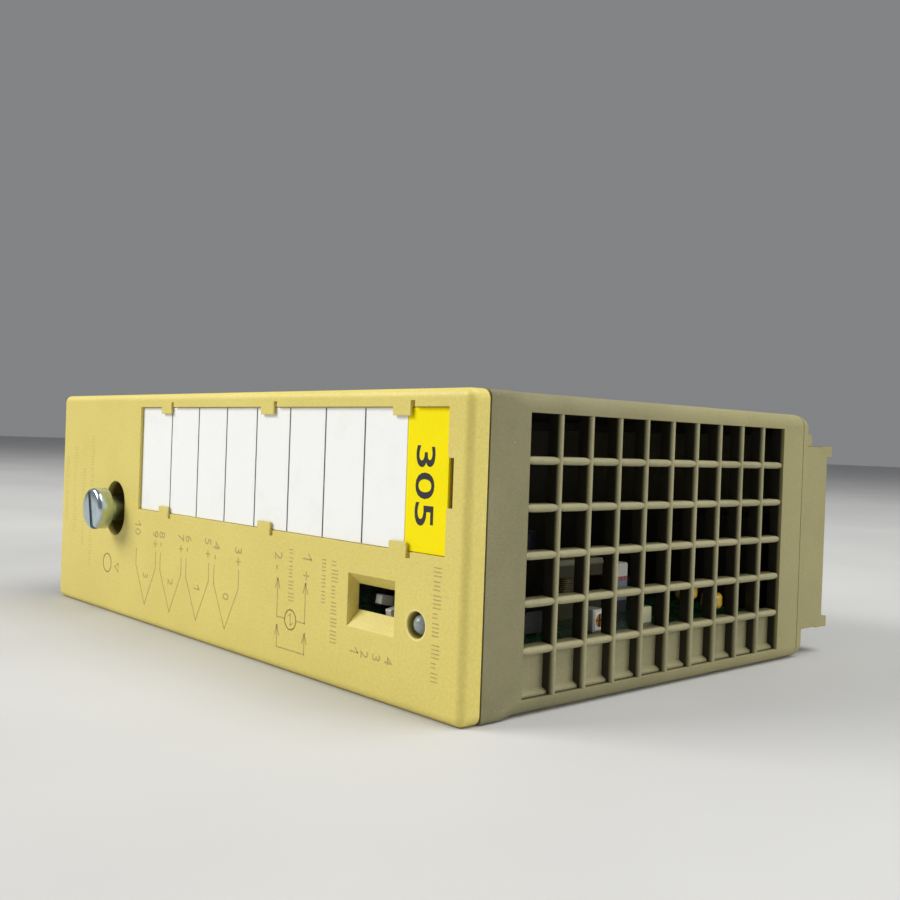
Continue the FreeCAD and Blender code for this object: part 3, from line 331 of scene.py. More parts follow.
def resistor_finish():
    """Lacquer with five printed rings, the same on every resistor of the row."""
    material, tree, shader = new_material("ringed_lacquer")
    way = along(tree, "Y")
    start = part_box("input_resistors")[0].y
    colour = mixed(tree, fade(tree, noise(tree, 1.0), 0.3, 0.7), (0.20, 0.42, 0.55), (0.28, 0.5, 0.6))
    rings = (
        (1.0, (0.35, 0.08, 0.02)),
        (2.1, (0.02, 0.02, 0.02)),
        (3.0, (0.02, 0.02, 0.02)),
        (3.9, (0.6, 0.03, 0.02)),
        (5.2, (0.35, 0.08, 0.02)),
    )
    for offset, paint in rings:
        place_m = start + offset * MM
        ring = band(tree, way, place_m - 0.25 * MM, place_m + 0.25 * MM, 0.05 * MM)
        colour = mixed(tree, ring, colour, paint)
    link(tree, colour, shader, "Base Color")
    link(tree, fade(tree, noise(tree, 1.2), 0.3, 0.7, 0.2, 0.34), shader, "Roughness")
    raise_surface(tree, shader, noise(tree, 1.5), 0.03)
    return material


def sleeve_finish():
    """Dark shrunk sleeve with a dull stripe, round a bare scored top."""
    material, tree, shader = new_material("shrunk_sleeve")
    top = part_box("electrolytic_capacitors")[1].z
    lid = fade(tree, along(tree, "Z"), top - 1.15 * MM, top - 1.1 * MM)
    stripe = fade(tree, cells(tree, 0.11, stretch=(1, 1, 0.05)), 0.42, 0.45)
    sleeve = mixed(tree, stripe, (0.004, 0.005, 0.010), (0.014, 0.017, 0.028))
    link(tree, mixed(tree, lid, sleeve, (0.62, 0.63, 0.64)), shader, "Base Color")
    link(tree, lid, shader, "Metallic")
    link(tree, fade(tree, noise(tree, 0.9), 0.3, 0.7, 0.25, 0.42), shader, "Roughness")
    raise_surface(tree, shader, noise(tree, 0.9), 0.05)
    return material


def tape_finish():
    """Amber tape over the turns of the winding."""
    material, tree, shader = new_material("winding_tape")
    turns = add(tree, "TexWave", {"Vector": place(tree), "Scale": 0.9, "Distortion": 0.4})
    turns.bands_direction = "Z"
    colour = mixed(tree, turns.outputs["Fac"], (0.045, 0.032, 0.008), (0.13, 0.092, 0.02))
    link(tree, colour, shader, "Base Color")
    link(tree, fade(tree, noise(tree, 1.0), 0.3, 0.7, 0.25, 0.45), shader, "Roughness")
    raise_surface(tree, shader, turns.outputs["Fac"], 0.08)
    return material


def dipped(name, light, dark, rough):
    """A dipped coat with a soft orange-peel surface."""
    material, tree, shader = new_material(name)
    cloud = fade(tree, noise(tree, 0.9, 3.0), 0.3, 0.7)
    link(tree, mixed(tree, cloud, dark, light), shader, "Base Color")
    link(tree, fade(tree, noise(tree, 2.0), 0.3, 0.7, rough - 0.06, rough + 0.08), shader, "Roughness")
    raise_surface(tree, shader, noise(tree, 1.1, 2.0), 0.1)
    shader.inputs["Coat Weight"].default_value = 0.4
    return material


def former_finish():
    """Glass-filled moulding of the coil former, with painted light along its top flange."""
    material, tree, shader = new_material("coil_former")
    cloud = fade(tree, noise(tree, 0.6, 4.0), 0.35, 0.65)
    colour = mixed(tree, cloud, (0.035, 0.032, 0.010), (0.055, 0.050, 0.017))
    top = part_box("transformer_bobbin")[1].z
    # painted light: the top of the former is paler where light falls on it
    painted_top_light = fade(tree, along(tree, "Z"), top - 1.1 * MM, top - 0.7 * MM)
    link(tree, mixed(tree, painted_top_light, colour, (0.22, 0.21, 0.14)), shader, "Base Color")
    link(tree, fade(tree, noise(tree, 1.6), 0.3, 0.7, 0.42, 0.6), shader, "Roughness")
    raise_surface(tree, shader, noise(tree, 5.0, 3.0), 0.02, 0.1)
    return material


def lens_finish():
    """Milky resin, faintly blue-grey, with a few flow lines."""
    material, tree, shader = new_material("lamp_resin")
    tint = fade(tree, noise(tree, 0.6), 0.35, 0.65)
    link(tree, mixed(tree, tint, (0.42, 0.50, 0.52), (0.58, 0.66, 0.68)), shader, "Base Color")
    link(tree, fade(tree, noise(tree, 1.4), 0.3, 0.7, 0.06, 0.2), shader, "Roughness")
    raise_surface(tree, shader, noise(tree, 1.2, 2.0), 0.03)
    shader.inputs["Transmission Weight"].default_value = 0.45
    shader.inputs["IOR"].default_value = 1.52
    return material


def ink(name, light, dark, rough):
    """Printing ink, or the painted shade of an engraved mark, slightly uneven."""
    material, tree, shader = new_material(name)
    wear = fade(tree, noise(tree, 1.9, 4.0, 0.6), 0.38, 0.7)
    link(tree, mixed(tree, wear, dark, light), shader, "Base Color")
    link(tree, fade(tree, noise(tree, 3.0), 0.3, 0.7, rough - 0.08, rough + 0.08), shader, "Roughness")
    raise_surface(tree, shader, noise(tree, 5.0), 0.008)
    return material


def darken(material, share, tint):
    """Multiplies a finish's colour by tint where share is 1."""
    tree = material.node_tree
    shader = tree.nodes["Principled BSDF"]
    colour = shader.inputs["Base Color"].links[0].from_socket
    shaded = mixed(tree, 1.0, colour, tint, "MULTIPLY")
    link(tree, mixed(tree, share, colour, shaded), shader, "Base Color")


def web_finish():
    """The housing plastic on the grille, dusty, with painted shade on the web sides and bar tops behind the
    noses.
    """
    light, dark = (0.37, 0.342, 0.190), (0.30, 0.277, 0.150)
    material = moulded("grille_plastic", light, dark, 0.5, 0.05, 0.15, dust=0.5)
    tree = material.node_tree
    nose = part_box("top_grille")[1].x
    from_middle = reckon(tree, "ABSOLUTE", along(tree, "X"))
    deep = fade(tree, from_middle, nose - WEB_SHADE_DEPTH * MM, nose - 0.3 * MM, 1.0, 0.0)
    foot = (GRID_Z0 + CELL) * MM
    above = fade(tree, along(tree, "Z"), foot - 0.3 * MM, foot + 0.3 * MM)
    facing = add(tree, "SeparateXYZ", {"Vector": add(tree, "NewGeometry").outputs["True Normal"]})
    side = fade(tree, reckon(tree, "ABSOLUTE", facing.outputs["Y"]), 0.6, 0.8)
    # painted shade: the sides of the webs go nearly black behind the noses
    darken(material, reckon(tree, "MULTIPLY", deep, side), (0.06, 0.05, 0.03))
    # painted shade: the bar tops above the lowest row go darker behind the noses
    darken(material, reckon(tree, "MULTIPLY", deep, above), (0.5, 0.48, 0.42))
    return material


def shade_openings(material):
    """Painted shade: the case walls are darkened inside, and so are the reveals of the grille openings."""
    tree = material.node_tree
    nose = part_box("top_grille")[1].x
    from_middle = reckon(tree, "ABSOLUTE", along(tree, "X"))
    height = along(tree, "Z")
    far, near = [nose - behind * MM for behind in INNER_SHADE_X]
    inner_x = fade(tree, from_middle, far, near, 1.0, 0.0)
    inner_z = band(tree, height, INNER_SHADE_Z[0] * MM, INNER_SHADE_Z[1] * MM, 0.3 * MM)
    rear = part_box("housing_shell")[1].y
    ahead = fade(tree, along(tree, "Y"), rear + 0.1 * MM, rear + 0.3 * MM, 1.0, 0.0)
    inner = reckon(tree, "MULTIPLY", reckon(tree, "MULTIPLY", inner_x, inner_z), ahead)
    low, high = spot(0, GRID_Y0, GRID_Z0), spot(0, GRID_Y0 + COLUMNS * CELL, GRID_Z0 + ROWS * CELL)
    margin = REVEAL_MARGIN * MM
    reveal_y = band(tree, along(tree, "Y"), low.y - margin, high.y + margin, 0.1 * MM)
    reveal_z = band(tree, height, low.z - margin, high.z + margin, 0.1 * MM)
    far, near = [nose - behind * MM for behind in REVEAL_SHADE_X]
    reveal_x = fade(tree, from_middle, far, near, 1.0, 0.0)
    reveal = reckon(tree, "MULTIPLY", reckon(tree, "MULTIPLY", reveal_y, reveal_z), reveal_x)
    # painted shade over the inner walls and the reveals
    darken(material, reckon(tree, "MAXIMUM", inner, reveal), (0.035, 0.032, 0.022))


def square_from(tree, x, z):
    """The squared distance, in square metres, from an axis that runs front to back."""
    centre = spot(x, 0, z)
    across = reckon(tree, "SUBTRACT", along(tree, "X"), centre.x)
    upward = reckon(tree, "SUBTRACT", along(tree, "Z"), centre.z)
    return reckon(
        tree, "ADD", reckon(tree, "MULTIPLY", across, across), reckon(tree, "MULTIPLY", upward, upward)
    )


def hollow(tree, x, z, radius, start, end):
    """1 deep in a round hole of the cover, fading out towards its mouth and its wall: the mask of its
    painted shade.
    """
    centre = spot(x, 0, z)
    square = square_from(tree, x, z)
    reach = radius * MM
    near = fade(tree, square, reach * reach, (reach * 1.1) ** 2, 1.0, 0.0)
    deep = fade(tree, along(tree, "Y"), centre.y + start * MM, centre.y + end * MM)
    return reckon(tree, "MULTIPLY", near, deep)


def shade_cover_holes(material):
    """Painted shade in the screw pocket, lamp hole and pry notch behind their mouths; a painted highlight
    on the lamp hole's rim.
    """
    tree = material.node_tree
    # painted shade deep in the screw pocket and the lamp hole
    darken(material, hollow(tree, SCREW_X, SCREW_Z, *POCKET_SHADE), (0.16, 0.13, 0.05))
    darken(material, hollow(tree, LAMP_X, LAMP_Z, *LAMP_HOLE_SHADE), (0.45, 0.42, 0.3))
    low, high = spot(*NOTCH_LOW), spot(*NOTCH_HIGH)
    side = band(tree, along(tree, "X"), low.x, high.x, 0.05 * MM)
    tall = band(tree, along(tree, "Z"), low.z, high.z, 0.05 * MM)
    deep = fade(tree, along(tree, "Y"), low.y, high.y)
    area = reckon(tree, "MULTIPLY", reckon(tree, "MULTIPLY", side, tall), deep)
    # painted shade deep in the pry notch
    darken(material, area, (0.26, 0.19, 0.06))
    # painted highlight: a pale ring round the mouth of the lamp hole
    inside, outside = (RIM_HIGHLIGHT_R0 * MM) ** 2, (RIM_HIGHLIGHT_R1 * MM) ** 2
    rim = band(tree, square_from(tree, LAMP_X, LAMP_Z), inside, outside, (outside - inside) / 8)
    mouth = fade(tree, along(tree, "Y"), low.y, low.y + 0.1 * MM, 1.0, 0.0)
    shader = tree.nodes["Principled BSDF"]
    colour = shader.inputs["Base Color"].links[0].from_socket
    share = reckon(tree, "MULTIPLY", reckon(tree, "MULTIPLY", rim, mouth), 0.55)
    link(tree, mixed(tree, share, colour, (0.95, 0.86, 0.42)), shader, "Base Color")


HOUSING_LIGHT = (0.250, 0.229, 0.117)
HOUSING_DARK = (0.200, 0.182, 0.090)
HOUSING_AGED = (0.355, 0.322, 0.146)
AGED_Y0, AGED_Y1 = -40.0, 38.0


def make_finishes():
    aged = (HOUSING_AGED, AGED_Y0, AGED_Y1)
    return {
        "cover_plastic": moulded(
            "cover_plastic", (0.755, 0.635, 0.165), (0.715, 0.595, 0.148), 0.48, 0.02, 0.2, dust=0.25
        ),
        "housing_plastic": moulded(
            "housing_plastic", HOUSING_LIGHT, HOUSING_DARK, 0.55, 0.06, 0.15, aged, dust=0.6
        ),
        "card_white": card("card_white", (0.93, 0.94, 0.94), (0.82, 0.82, 0.80), 0.25),
        "card_yellow": card("card_yellow", (0.98, 0.82, 0.0), (0.92, 0.76, 0.0), 0.1),
        "zinc_steel": plated(
            "zinc_steel", (0.56, 0.65, 0.69), (0.44, 0.53, 0.58), 0.17, None, (1, 1, 3), 0.006, 0.0
        ),
        "black_plastic": plain_plastic("black_plastic", (0.014, 0.014, 0.015), (0.007, 0.007, 0.008), 0.55),
        "white_plastic": plain_plastic("white_plastic", (0.82, 0.81, 0.76), (0.74, 0.73, 0.68), 0.42),
        "lamp_lens": lens_finish(),
        "board_laminate": board_finish(),
        "tinned_copper": plated("tinned_copper", (0.74, 0.73, 0.70), (0.58, 0.57, 0.55), 0.24),
        "gold_contact": plated("gold_contact", (0.85, 0.66, 0.30), (0.72, 0.54, 0.22), 0.2),
        "ferrite": plain_plastic("ferrite", (0.055, 0.052, 0.05), (0.03, 0.03, 0.03), 0.62),
        "coil_former": former_finish(),
        "winding_tape": tape_finish(),
        "capacitor_film": film_box_finish(),
        "capacitor_ceramic": dipped("capacitor_ceramic", (0.80, 0.78, 0.52), (0.72, 0.68, 0.42), 0.4),
        "capacitor_tantalum": dipped("capacitor_tantalum", (0.85, 0.55, 0.06), (0.72, 0.42, 0.04), 0.25),
        "capacitor_sleeve": sleeve_finish(),
        "rotor_brass": plated("rotor_brass", (0.62, 0.36, 0.12), (0.42, 0.24, 0.08), 0.35),
        "resistor_coat": resistor_finish(),
        "solder": plated("solder", (0.66, 0.67, 0.68), (0.5, 0.51, 0.52), 0.3, bump_mm=0.04),
    }


def finish_frame(finishes):
    """Every carried-over node gets the finish of its slot."""
    for part in frame["record"]["subparts"]:
        slots = NODES[part["node"]].data.materials
        slots.clear()
        slots.append(finishes[part["material_slot"]])


# ------------------------------------------------------------------ mesh tools
def piece(name, mesh, finish, body=MODULE):
    """A finished piece, at the origin with its place in its mesh."""
    mesh.materials.clear()
    mesh.materials.append(finish)
    made = bpy.data.objects.new(name, mesh)
    bpy.context.scene.collection.objects.link(made)
    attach(made, body)
    return made


def mesh_from(name, build):
    """A mesh built by a bmesh function, with outward faces."""
    shape = bmesh.new()
    build(shape)
    bmesh.ops.recalc_face_normals(shape, faces=shape.faces)
    mesh = bpy.data.meshes.new(name)
    shape.to_mesh(mesh)
    shape.free()
    return mesh


def prism(shape, outline, axis_step):
    """A closed prism: outline is a ring of points, moved by axis_step to its other end."""
    first = [shape.verts.new(point) for point in outline]
    second = [shape.verts.new(Vector(point) + axis_step) for point in outline]
    count = len(outline)
    shape.faces.new(first)
    shape.faces.new(list(reversed(second)))
    for index in range(count):
        after = (index + 1) % count
        shape.faces.new((first[index], second[index], second[after], first[after]))


def loft(shape, rings):
    """A closed skin through rings of equally many points, with flat ends."""
    loops = [[shape.verts.new(point) for point in ring] for ring in rings]
    for one, two in zip(loops, loops[1:]):
        for index in range(len(one)):
            after = (index + 1) % len(one)
            shape.faces.new((one[index], one[after], two[after], two[index]))
    shape.faces.new(loops[0])
    shape.faces.new(loops[-1])


def joined(name, meshes):
    """Several meshes as one."""
    shape = bmesh.new()
    for mesh in meshes:
        shape.from_mesh(mesh)
    whole = bpy.data.meshes.new(name)
    shape.to_mesh(whole)
    shape.free()
    return whole


# ------------------------------------------------------------------ repeats with Geometry Nodes
def grid_tree():
    """Repeats the piece it is given in columns and rows."""
    tree = bpy.data.node_groups.new("repeat_in_grid", "GeometryNodeTree")
    tree.interface.new_socket("Geometry", in_out="INPUT", socket_type="NodeSocketGeometry")
    for name in ("Columns", "Rows"):
        tree.interface.new_socket(name, in_out="INPUT", socket_type="NodeSocketInt")
    for name in ("Column step", "Row step"):
        tree.interface.new_socket(name, in_out="INPUT", socket_type="NodeSocketVector")
    tree.interface.new_socket("Finish", in_out="INPUT", socket_type="NodeSocketMaterial")
    tree.interface.new_socket("Geometry", in_out="OUTPUT", socket_type="NodeSocketGeometry")
    start = tree.nodes.new("NodeGroupInput")
    end = tree.nodes.new("NodeGroupOutput")
    source = start.outputs["Geometry"]
    for count, step in (("Columns", "Column step"), ("Rows", "Row step")):
        line = tree.nodes.new("GeometryNodeMeshLine")
        tree.links.new(start.outputs[count], line.inputs["Count"])
        tree.links.new(start.outputs[step], line.inputs["Offset"])
        copies = tree.nodes.new("GeometryNodeInstanceOnPoints")
        tree.links.new(line.outputs["Mesh"], copies.inputs["Points"])
        tree.links.new(source, copies.inputs["Instance"])
        real = tree.nodes.new("GeometryNodeRealizeInstances")
        tree.links.new(copies.outputs["Instances"], real.inputs["Geometry"])
        source = real.outputs["Geometry"]
    paint = tree.nodes.new("GeometryNodeSetMaterial")
    tree.links.new(source, paint.inputs["Geometry"])
    tree.links.new(start.outputs["Finish"], paint.inputs["Material"])
    tree.links.new(paint.outputs["Geometry"], end.inputs["Geometry"])
    return tree


def run_tree(tree, mesh, values):
    """The plain mesh that a tree makes of a mesh with these named inputs."""
    maker = bpy.data.objects.new("maker", mesh)
    bpy.context.scene.collection.objects.link(maker)
    modifier = maker.modifiers.new("nodes", "NODES")
    modifier.node_group = tree
    for item in tree.interface.items_tree:
        if item.item_type == "SOCKET" and item.in_out == "INPUT" and item.name in values:
            modifier[item.identifier] = values[item.name]
    bpy.context.view_layer.update()
    evaluated = maker.evaluated_get(bpy.context.evaluated_depsgraph_get())
    result = bpy.data.meshes.new_from_object(evaluated)
    bpy.data.objects.remove(maker)
    return result


def repeated(tree, mesh, finish, columns, column_step, rows=1, row_step=(0, 0, 0)):
    values = {
        "Columns": columns,
        "Rows": rows,
        "Column step": [part * MM for part in column_step],
        "Row step": [part * MM for part in row_step],
        "Finish": finish,
    }
    return run_tree(tree, mesh, values)


# ------------------------------------------------------------------ vent grilles
def nose_ring(x_back, x_front, middle, width_back, width_front, spot_of):
    """The outline of a web, two back corners and a half-round nose, placed by spot_of."""
    radius = width_front / 2
    points = [(x_back, middle - width_back / 2)]
    for step in range(NOSE_SEGMENTS + 1):
        angle = math.pi * step / NOSE_SEGMENTS
        across = middle - radius * math.cos(angle)
        points.append((x_front - radius + radius * math.sin(angle), across))
    points.append((x_back, middle + width_back / 2))
    return [spot_of(x, across) for x, across in points]


def rib_mesh():
    """One upright rib of the grille, with draft and a round nose."""
    z0, z1 = GRID_Z0, GRID_Z0 + ROWS * CELL
    y = GRID_Y0 + CELL

    def build(shape):
        ring = nose_ring(
            LENGTH - WEB_DEPTH, LENGTH, y, RIB_W + RIB_DRAFT, RIB_W, lambda x, a: spot(x, a, z0)
        )
        prism(shape, ring, Vector((0, 0, z1 - z0)) * MM)

    return mesh_from("rib", build)


def bar_mesh():
    """One cross bar between two ribs: thick and round in its middle, drawn in at its ends."""
    # along the bar, share of the full thickness, how far the nose is set back
    z = GRID_Z0 + CELL
    stations = ((0.2, 0.0, 0.2), (0.5, 0.0, 0.16), (0.85, 0.6, 0.07), (1.35, 1.0, 0.02))
    path = list(stations)
    path += [(CELL - part, grow, sink) for part, grow, sink in reversed(stations)]

    def build(shape):
        rings = []
        for part, grow, sink in path:
            width = BAR_END_W + (BAR_W - BAR_END_W) * grow
            y = GRID_Y0 + part
            rings.append(
                nose_ring(
                    LENGTH - WEB_DEPTH, LENGTH - sink, z, BAR_W, width, lambda x, a: spot(x, y, a)
                )
            )
        loft(shape, rings)

    return mesh_from("bar", build)


def blind_mesh():
    """The solid back of the lowest row, with a small step along its foot."""
    x1 = LENGTH - BLIND_RECESS
    x0 = x1 - BLIND_WALL
    z0, z1 = GRID_Z0, GRID_Z0 + CELL
    outline = ((x0, z0), (x1 + 0.9, z0), (x1 + 0.9, z0 + 0.35), (x1, z0 + 0.9), (x1, z1), (x0, z1))

    def build(shape):
        ring = [spot(x, GRID_Y0, z) for x, z in outline]
        prism(shape, ring, Vector((0, COLUMNS * CELL, 0)) * MM)

    return mesh_from("blind", build)


def mirrored(mesh):
    """The same shape at the other end of the module, turned the right way out again."""
    other = mesh.copy()
    middle = (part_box("housing_shell")[0].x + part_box("housing_shell")[1].x) / 2
    other.transform(Matrix.Translation((2 * middle, 0, 0)) @ Matrix.Diagonal((-1, 1, 1, 1)))
    other.flip_normals()
    return other


def make_grilles(tree, finish):
    ribs = repeated(tree, rib_mesh(), finish, COLUMNS - 1, (0, CELL, 0))
    bars = repeated(tree, bar_mesh(), finish, COLUMNS, (0, CELL, 0), ROWS - 1, (0, 0, CELL))
    whole = joined("top_grille_web", [ribs, bars, blind_mesh()])
    for name, mesh, node in (
        ("top_grille_web", whole, "top_grille"),
        ("bottom_grille_web", mirrored(whole), "bottom_grille"),
    ):
        web = piece(name, mesh, finish)
        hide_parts(node)


# ------------------------------------------------------------------ marks on the cover
def face_matrix(x, z, y=0.0):
    """Lettering on the front reads down the module, with its tops towards the top end."""
    turn = Matrix(((0, 1, 0), (0, 0, -1), (-1, 0, 0))).to_4x4()
    return Matrix.Translation(spot(x, y, z)) @ turn


def lettering(text, x, z, height, y=0.0, bold=0.0, squeeze=1.0, length=None):
    """A mesh of characters centred on x, z, drawn out to length where one is given."""
    curve = bpy.data.curves.new("letters", "FONT")
    curve.body = text
    curve.align_x = "CENTER"
    curve.align_y = "CENTER"
    curve.size = height * MM / CAP_HEIGHT_SHARE
    curve.extrude = MARK_T * MM
    curve.offset = bold * MM
    curve.resolution_u = 4
    maker = bpy.data.objects.new("maker", curve)
    bpy.context.scene.collection.objects.link(maker)
    bpy.context.view_layer.update()
    evaluated = maker.evaluated_get(bpy.context.evaluated_depsgraph_get())
    mesh = bpy.data.meshes.new_from_object(evaluated)
    bpy.data.objects.remove(maker)
    if length:
        across = [vertex.co.x for vertex in mesh.vertices]
        tall = [vertex.co.y for vertex in mesh.vertices]
        squeeze = length * MM / (max(across) - min(across))
        mesh.transform(Matrix.Diagonal((1, height * MM / (max(tall) - min(tall)), 1, 1)))
    mesh.transform(Matrix.Diagonal((squeeze, 1, 1, 1)))
    mesh.transform(face_matrix(x, z, y))
    return mesh


def line_mesh(points, width=LINE_W, closed=False):
    """An engraved line through points (x, z) on the cover."""

    def build(shape):
        ends = list(points) + ([points[0]] if closed else [])
        for (xa, za), (xb, zb) in zip(ends, ends[1:]):
            run = Vector((xb - xa, 0, zb - za))
            side = Vector((-run.z, 0, run.x)).normalized() * width / 2
            cap = run.normalized() * width / 2
            corners = [
                Vector((xa, -MARK_T, za)) - cap + side,
                Vector((xb, -MARK_T, zb)) + cap + side,
                Vector((xb, -MARK_T, zb)) + cap - side,
                Vector((xa, -MARK_T, za)) - cap - side,
            ]
            ring = [spot(*corner) for corner in corners]
            prism(shape, ring, Vector((0, MARK_T + MARK_SINK, 0)) * MM)

    return mesh_from("line", build)


def arrow(tip, base):
    """A line with an open arrow head at tip."""
    (xt, zt), (xb, zb) = tip, base
    way = Vector((xt - xb, zt - zb)).normalized()
    side = Vector((-way.y, way.x)) * ARROW_HEAD_HALF_W
    back = Vector((xt, zt)) - way * ARROW_HEAD_L
    head = [tuple(back + side), tip, tuple(back - side)]
    return [line_mesh([base, tip]), line_mesh(head, ARROW_HEAD_LINE_W)]


def circle_points(x, z, radius, count=28):
    turn = 2 * math.pi / count
    return [
        (x + radius * math.cos(turn * i), z + radius * math.sin(turn * i)) for i in range(count)
    ]


TERMINALS = (
    ("1", 98.5, 18.8), ("2", 90.2, 18.5), ("3", 77.6, 18.0), ("4", 70.2, 18.1), ("5", 67.1, 18.6),
    ("6", 59.9, 18.4), ("7", 57.0, 18.4), ("8", 49.4, 18.2), ("9", 46.6, 18.1), ("10", 39.0, 18.6),
)
SIGNS = (
    ("+", 98.2, 16.15), ("-", 90.2, 16.6), ("+", 77.6, 16.1), ("-", 70.2, 16.05), ("+", 67.1, 16.4),
    ("-", 59.9, 16.4), ("+", 57.0, 16.3), ("-", 49.4, 16.3), ("+", 46.6, 16.2),
)
SWITCH_NUMBERS = (("1", 111.4, 6.45), ("2", 113.8, 6.45), ("3", 116.6, 6.45), ("4", 119.45, 6.45))
CHANNELS = (("0", 73.8, 9.6), ("1", 63.5, 9.6), ("2", 53.2, 9.6), ("3", 42.85, 9.6))
CHANNEL_HALF_W = 4.2
CHANNEL_TIP_Z, CHANNEL_SHOULDER_Z, CHANNEL_TOP_Z = 3.9, 11.4, 14.6
NUMERAL_H, NUMERAL_SQUEEZE = 2.3, 0.92
SWITCH_NUMERAL_H = 1.85
CHANNEL_NUMERAL_H = 2.0
TEN_ONE_SHIFT, TEN_NOUGHT_SHIFT = 0.75, 0.65
ONE_LINE_W = 0.22
FAINT_X = 17.0
COMPENSATION_ARROWS = (
    ((98.3, 14.9), (98.3, 8.6)),
    ((90.35, 14.8), (90.35, 8.6)),
    ((98.35, 6.95), (98.35, 3.7)),
    ((90.5, 7.2), (90.5, 3.7)),
)
COMPENSATION_LINES = (
    ((98.35, 3.7), (90.5, 3.7)),
    ((98.3, 8.6), (95.9, 8.6)),
    ((92.7, 8.6), (90.35, 8.6)),
)
COMPENSATION_RING = (94.3, 8.6, 1.6)
COMPENSATION_WAVE = ((93.6, 9.1), (94.3, 9.5), (94.3, 7.7), (95.0, 8.1))
SIDE_RING = (25.3, 10.25, 1.9)
SIDE_TRIANGLE = ((30.6, 8.9), (30.6, 10.6), (29.0, 9.75))
SLOT_NUMBER, SLOT_NUMBER_X, SLOT_NUMBER_Z = "305", 125.3, 31.85
SLOT_NUMBER_H, SLOT_NUMBER_L, SLOT_NUMBER_BOLD = 4.0, 11.2, 0.05
RULE_HALF_W = 0.15


def channel_outline(x):
    """The open five-sided sign of one channel, pointing down the cover."""
    return [
        (x + CHANNEL_HALF_W, CHANNEL_TOP_Z),
        (x + CHANNEL_HALF_W, CHANNEL_SHOULDER_Z),
        (x, CHANNEL_TIP_Z),
        (x - CHANNEL_HALF_W, CHANNEL_SHOULDER_Z),
        (x - CHANNEL_HALF_W, CHANNEL_TOP_Z),
    ]


def compensation_sign():
    """Two pairs of arrows joined through a ring."""
    parts = []
    for tip, base in COMPENSATION_ARROWS:
        parts += arrow(tip, base)
    parts += [line_mesh(ends) for ends in COMPENSATION_LINES]
    parts.append(line_mesh(circle_points(*COMPENSATION_RING), closed=True))
    parts.append(line_mesh(COMPENSATION_WAVE, WAVE_LINE_W))
    return parts


STROKE_HALF_L, STROKE_HALF_W = 0.8, 0.085
STROKE_STEP, WORD_GAP = 0.56, 0.22


def stroke_mesh():
    """One upright stroke, the seed of the neutral marks that stand for wording."""
    half_l, half_w = STROKE_HALF_L, STROKE_HALF_W
    outline = ((-half_l, -half_w), (half_l, -half_w), (half_l, half_w), (-half_l, half_w))

    def build(shape):
        ring = [spot(x, -MARK_T, z) for x, z in outline]
        prism(shape, ring, Vector((0, MARK_T + MARK_SINK, 0)) * MM)

    return mesh_from("stroke", build)


# place along the cover, then where the column starts and ends across it
WORD_COLUMNS = (
    (129.5, 20.9, 12.4), (129.5, 10.35, 4.8), (106.0, 19.2, 7.5), (103.4, 19.2, 12.0),
    (94.3, 19.85, 12.6), (16.55, 36.5, 8.2), (12.3, 29.2, 13.5), (7.7, 34.0, 16.0), (3.1, 31.5, 18.5),
)


def word_marks(tree, finish, columns, seed_number):
    """Rows of short strokes of several heights, with gaps."""
    meshes = []
    chance = random.Random(seed_number)
    for x, z_start, z_end in columns:
        z = z_start
        while z > z_end:
            count = chance.choice((2, 3, 4))
            tall = chance.choice((0.62, 0.85, 1.0))
            seed = stroke_mesh()
            seed.transform(Matrix.Translation(-CORNER))
            seed.transform(Matrix.Diagonal((tall, 1, 1, 1)))
            seed.transform(Matrix.Translation(spot(x - (1 - tall) * STROKE_HALF_L, 0, z)))
            meshes.append(repeated(tree, seed, finish, count, (0, 0, -STROKE_STEP)))
            z -= STROKE_STEP * count + WORD_GAP
    return meshes


def one_mesh(x, z, height):
    """The figure one: a stem with a slanting flag, its top towards the top end."""
    top, half = x + height / 2, height / 2
    stem = line_mesh([(x - half, z), (top, z)], ONE_LINE_W)
    flag = line_mesh([(top - 0.32 * height, z + 0.34 * height), (top, z)], ONE_LINE_W)
    return [stem, flag]


def figures(text, x, z, height, squeeze=1.0):
    """The meshes of a number, with the figure one drawn with its flag."""
    if text == "1":
        return one_mesh(x, z, height)
    if text == "10":
        one = one_mesh(x, z + TEN_ONE_SHIFT, height)
        return one + [lettering("0", x, z - TEN_NOUGHT_SHIFT, height, squeeze=squeeze)]
    return [lettering(text, x, z, height, squeeze=squeeze)]


def make_cover_marks(tree, finishes):
    engraved = finishes["engraving"]
    numerals = []
    for text, x, z in TERMINALS + SIGNS:
        numerals += figures(text, x, z, NUMERAL_H, NUMERAL_SQUEEZE)
    for text, x, z in SWITCH_NUMBERS:
        numerals += figures(text, x, z, SWITCH_NUMERAL_H)
    for text, x, z in CHANNELS:
        numerals += figures(text, x, z, CHANNEL_NUMERAL_H)
    lines = compensation_sign()
    for _, x, _ in CHANNELS:
        lines.append(line_mesh(channel_outline(x)))
    for sign in (circle_points(*SIDE_RING), SIDE_TRIANGLE):
        lines.append(line_mesh(sign, SIDE_SIGN_LINE_W, closed=True))
    for name, meshes in (("cover_numerals", numerals), ("cover_lines", lines)):
        piece(name, joined(name, meshes), engraved)
    clear = [column for column in WORD_COLUMNS if column[0] > FAINT_X]
    worn = [column for column in WORD_COLUMNS if column[0] <= FAINT_X]
    faint = finishes["faint_engraving"]
    for name, columns, ink_used, seed_number in (
        ("cover_strokes", clear, engraved, 11),
        ("cover_worn_strokes", worn, faint, 12),
    ):
        strokes = joined(name, word_marks(tree, ink_used, columns, seed_number))
        piece(name, strokes, ink_used)


def rule_mesh(x):
    def build(shape):
        y = CARD_FACE_Y - MARK_T
        half = RULE_HALF_W
        corners = ((x - half, CARD_Z0), (x + half, CARD_Z0), (x + half, CARD_Z1), (x - half, CARD_Z1))
        ring = [spot(cx, y, cz) for cx, cz in corners]
        prism(shape, ring, Vector((0, MARK_T + MARK_SINK, 0)) * MM)

    return mesh_from("rule", build)


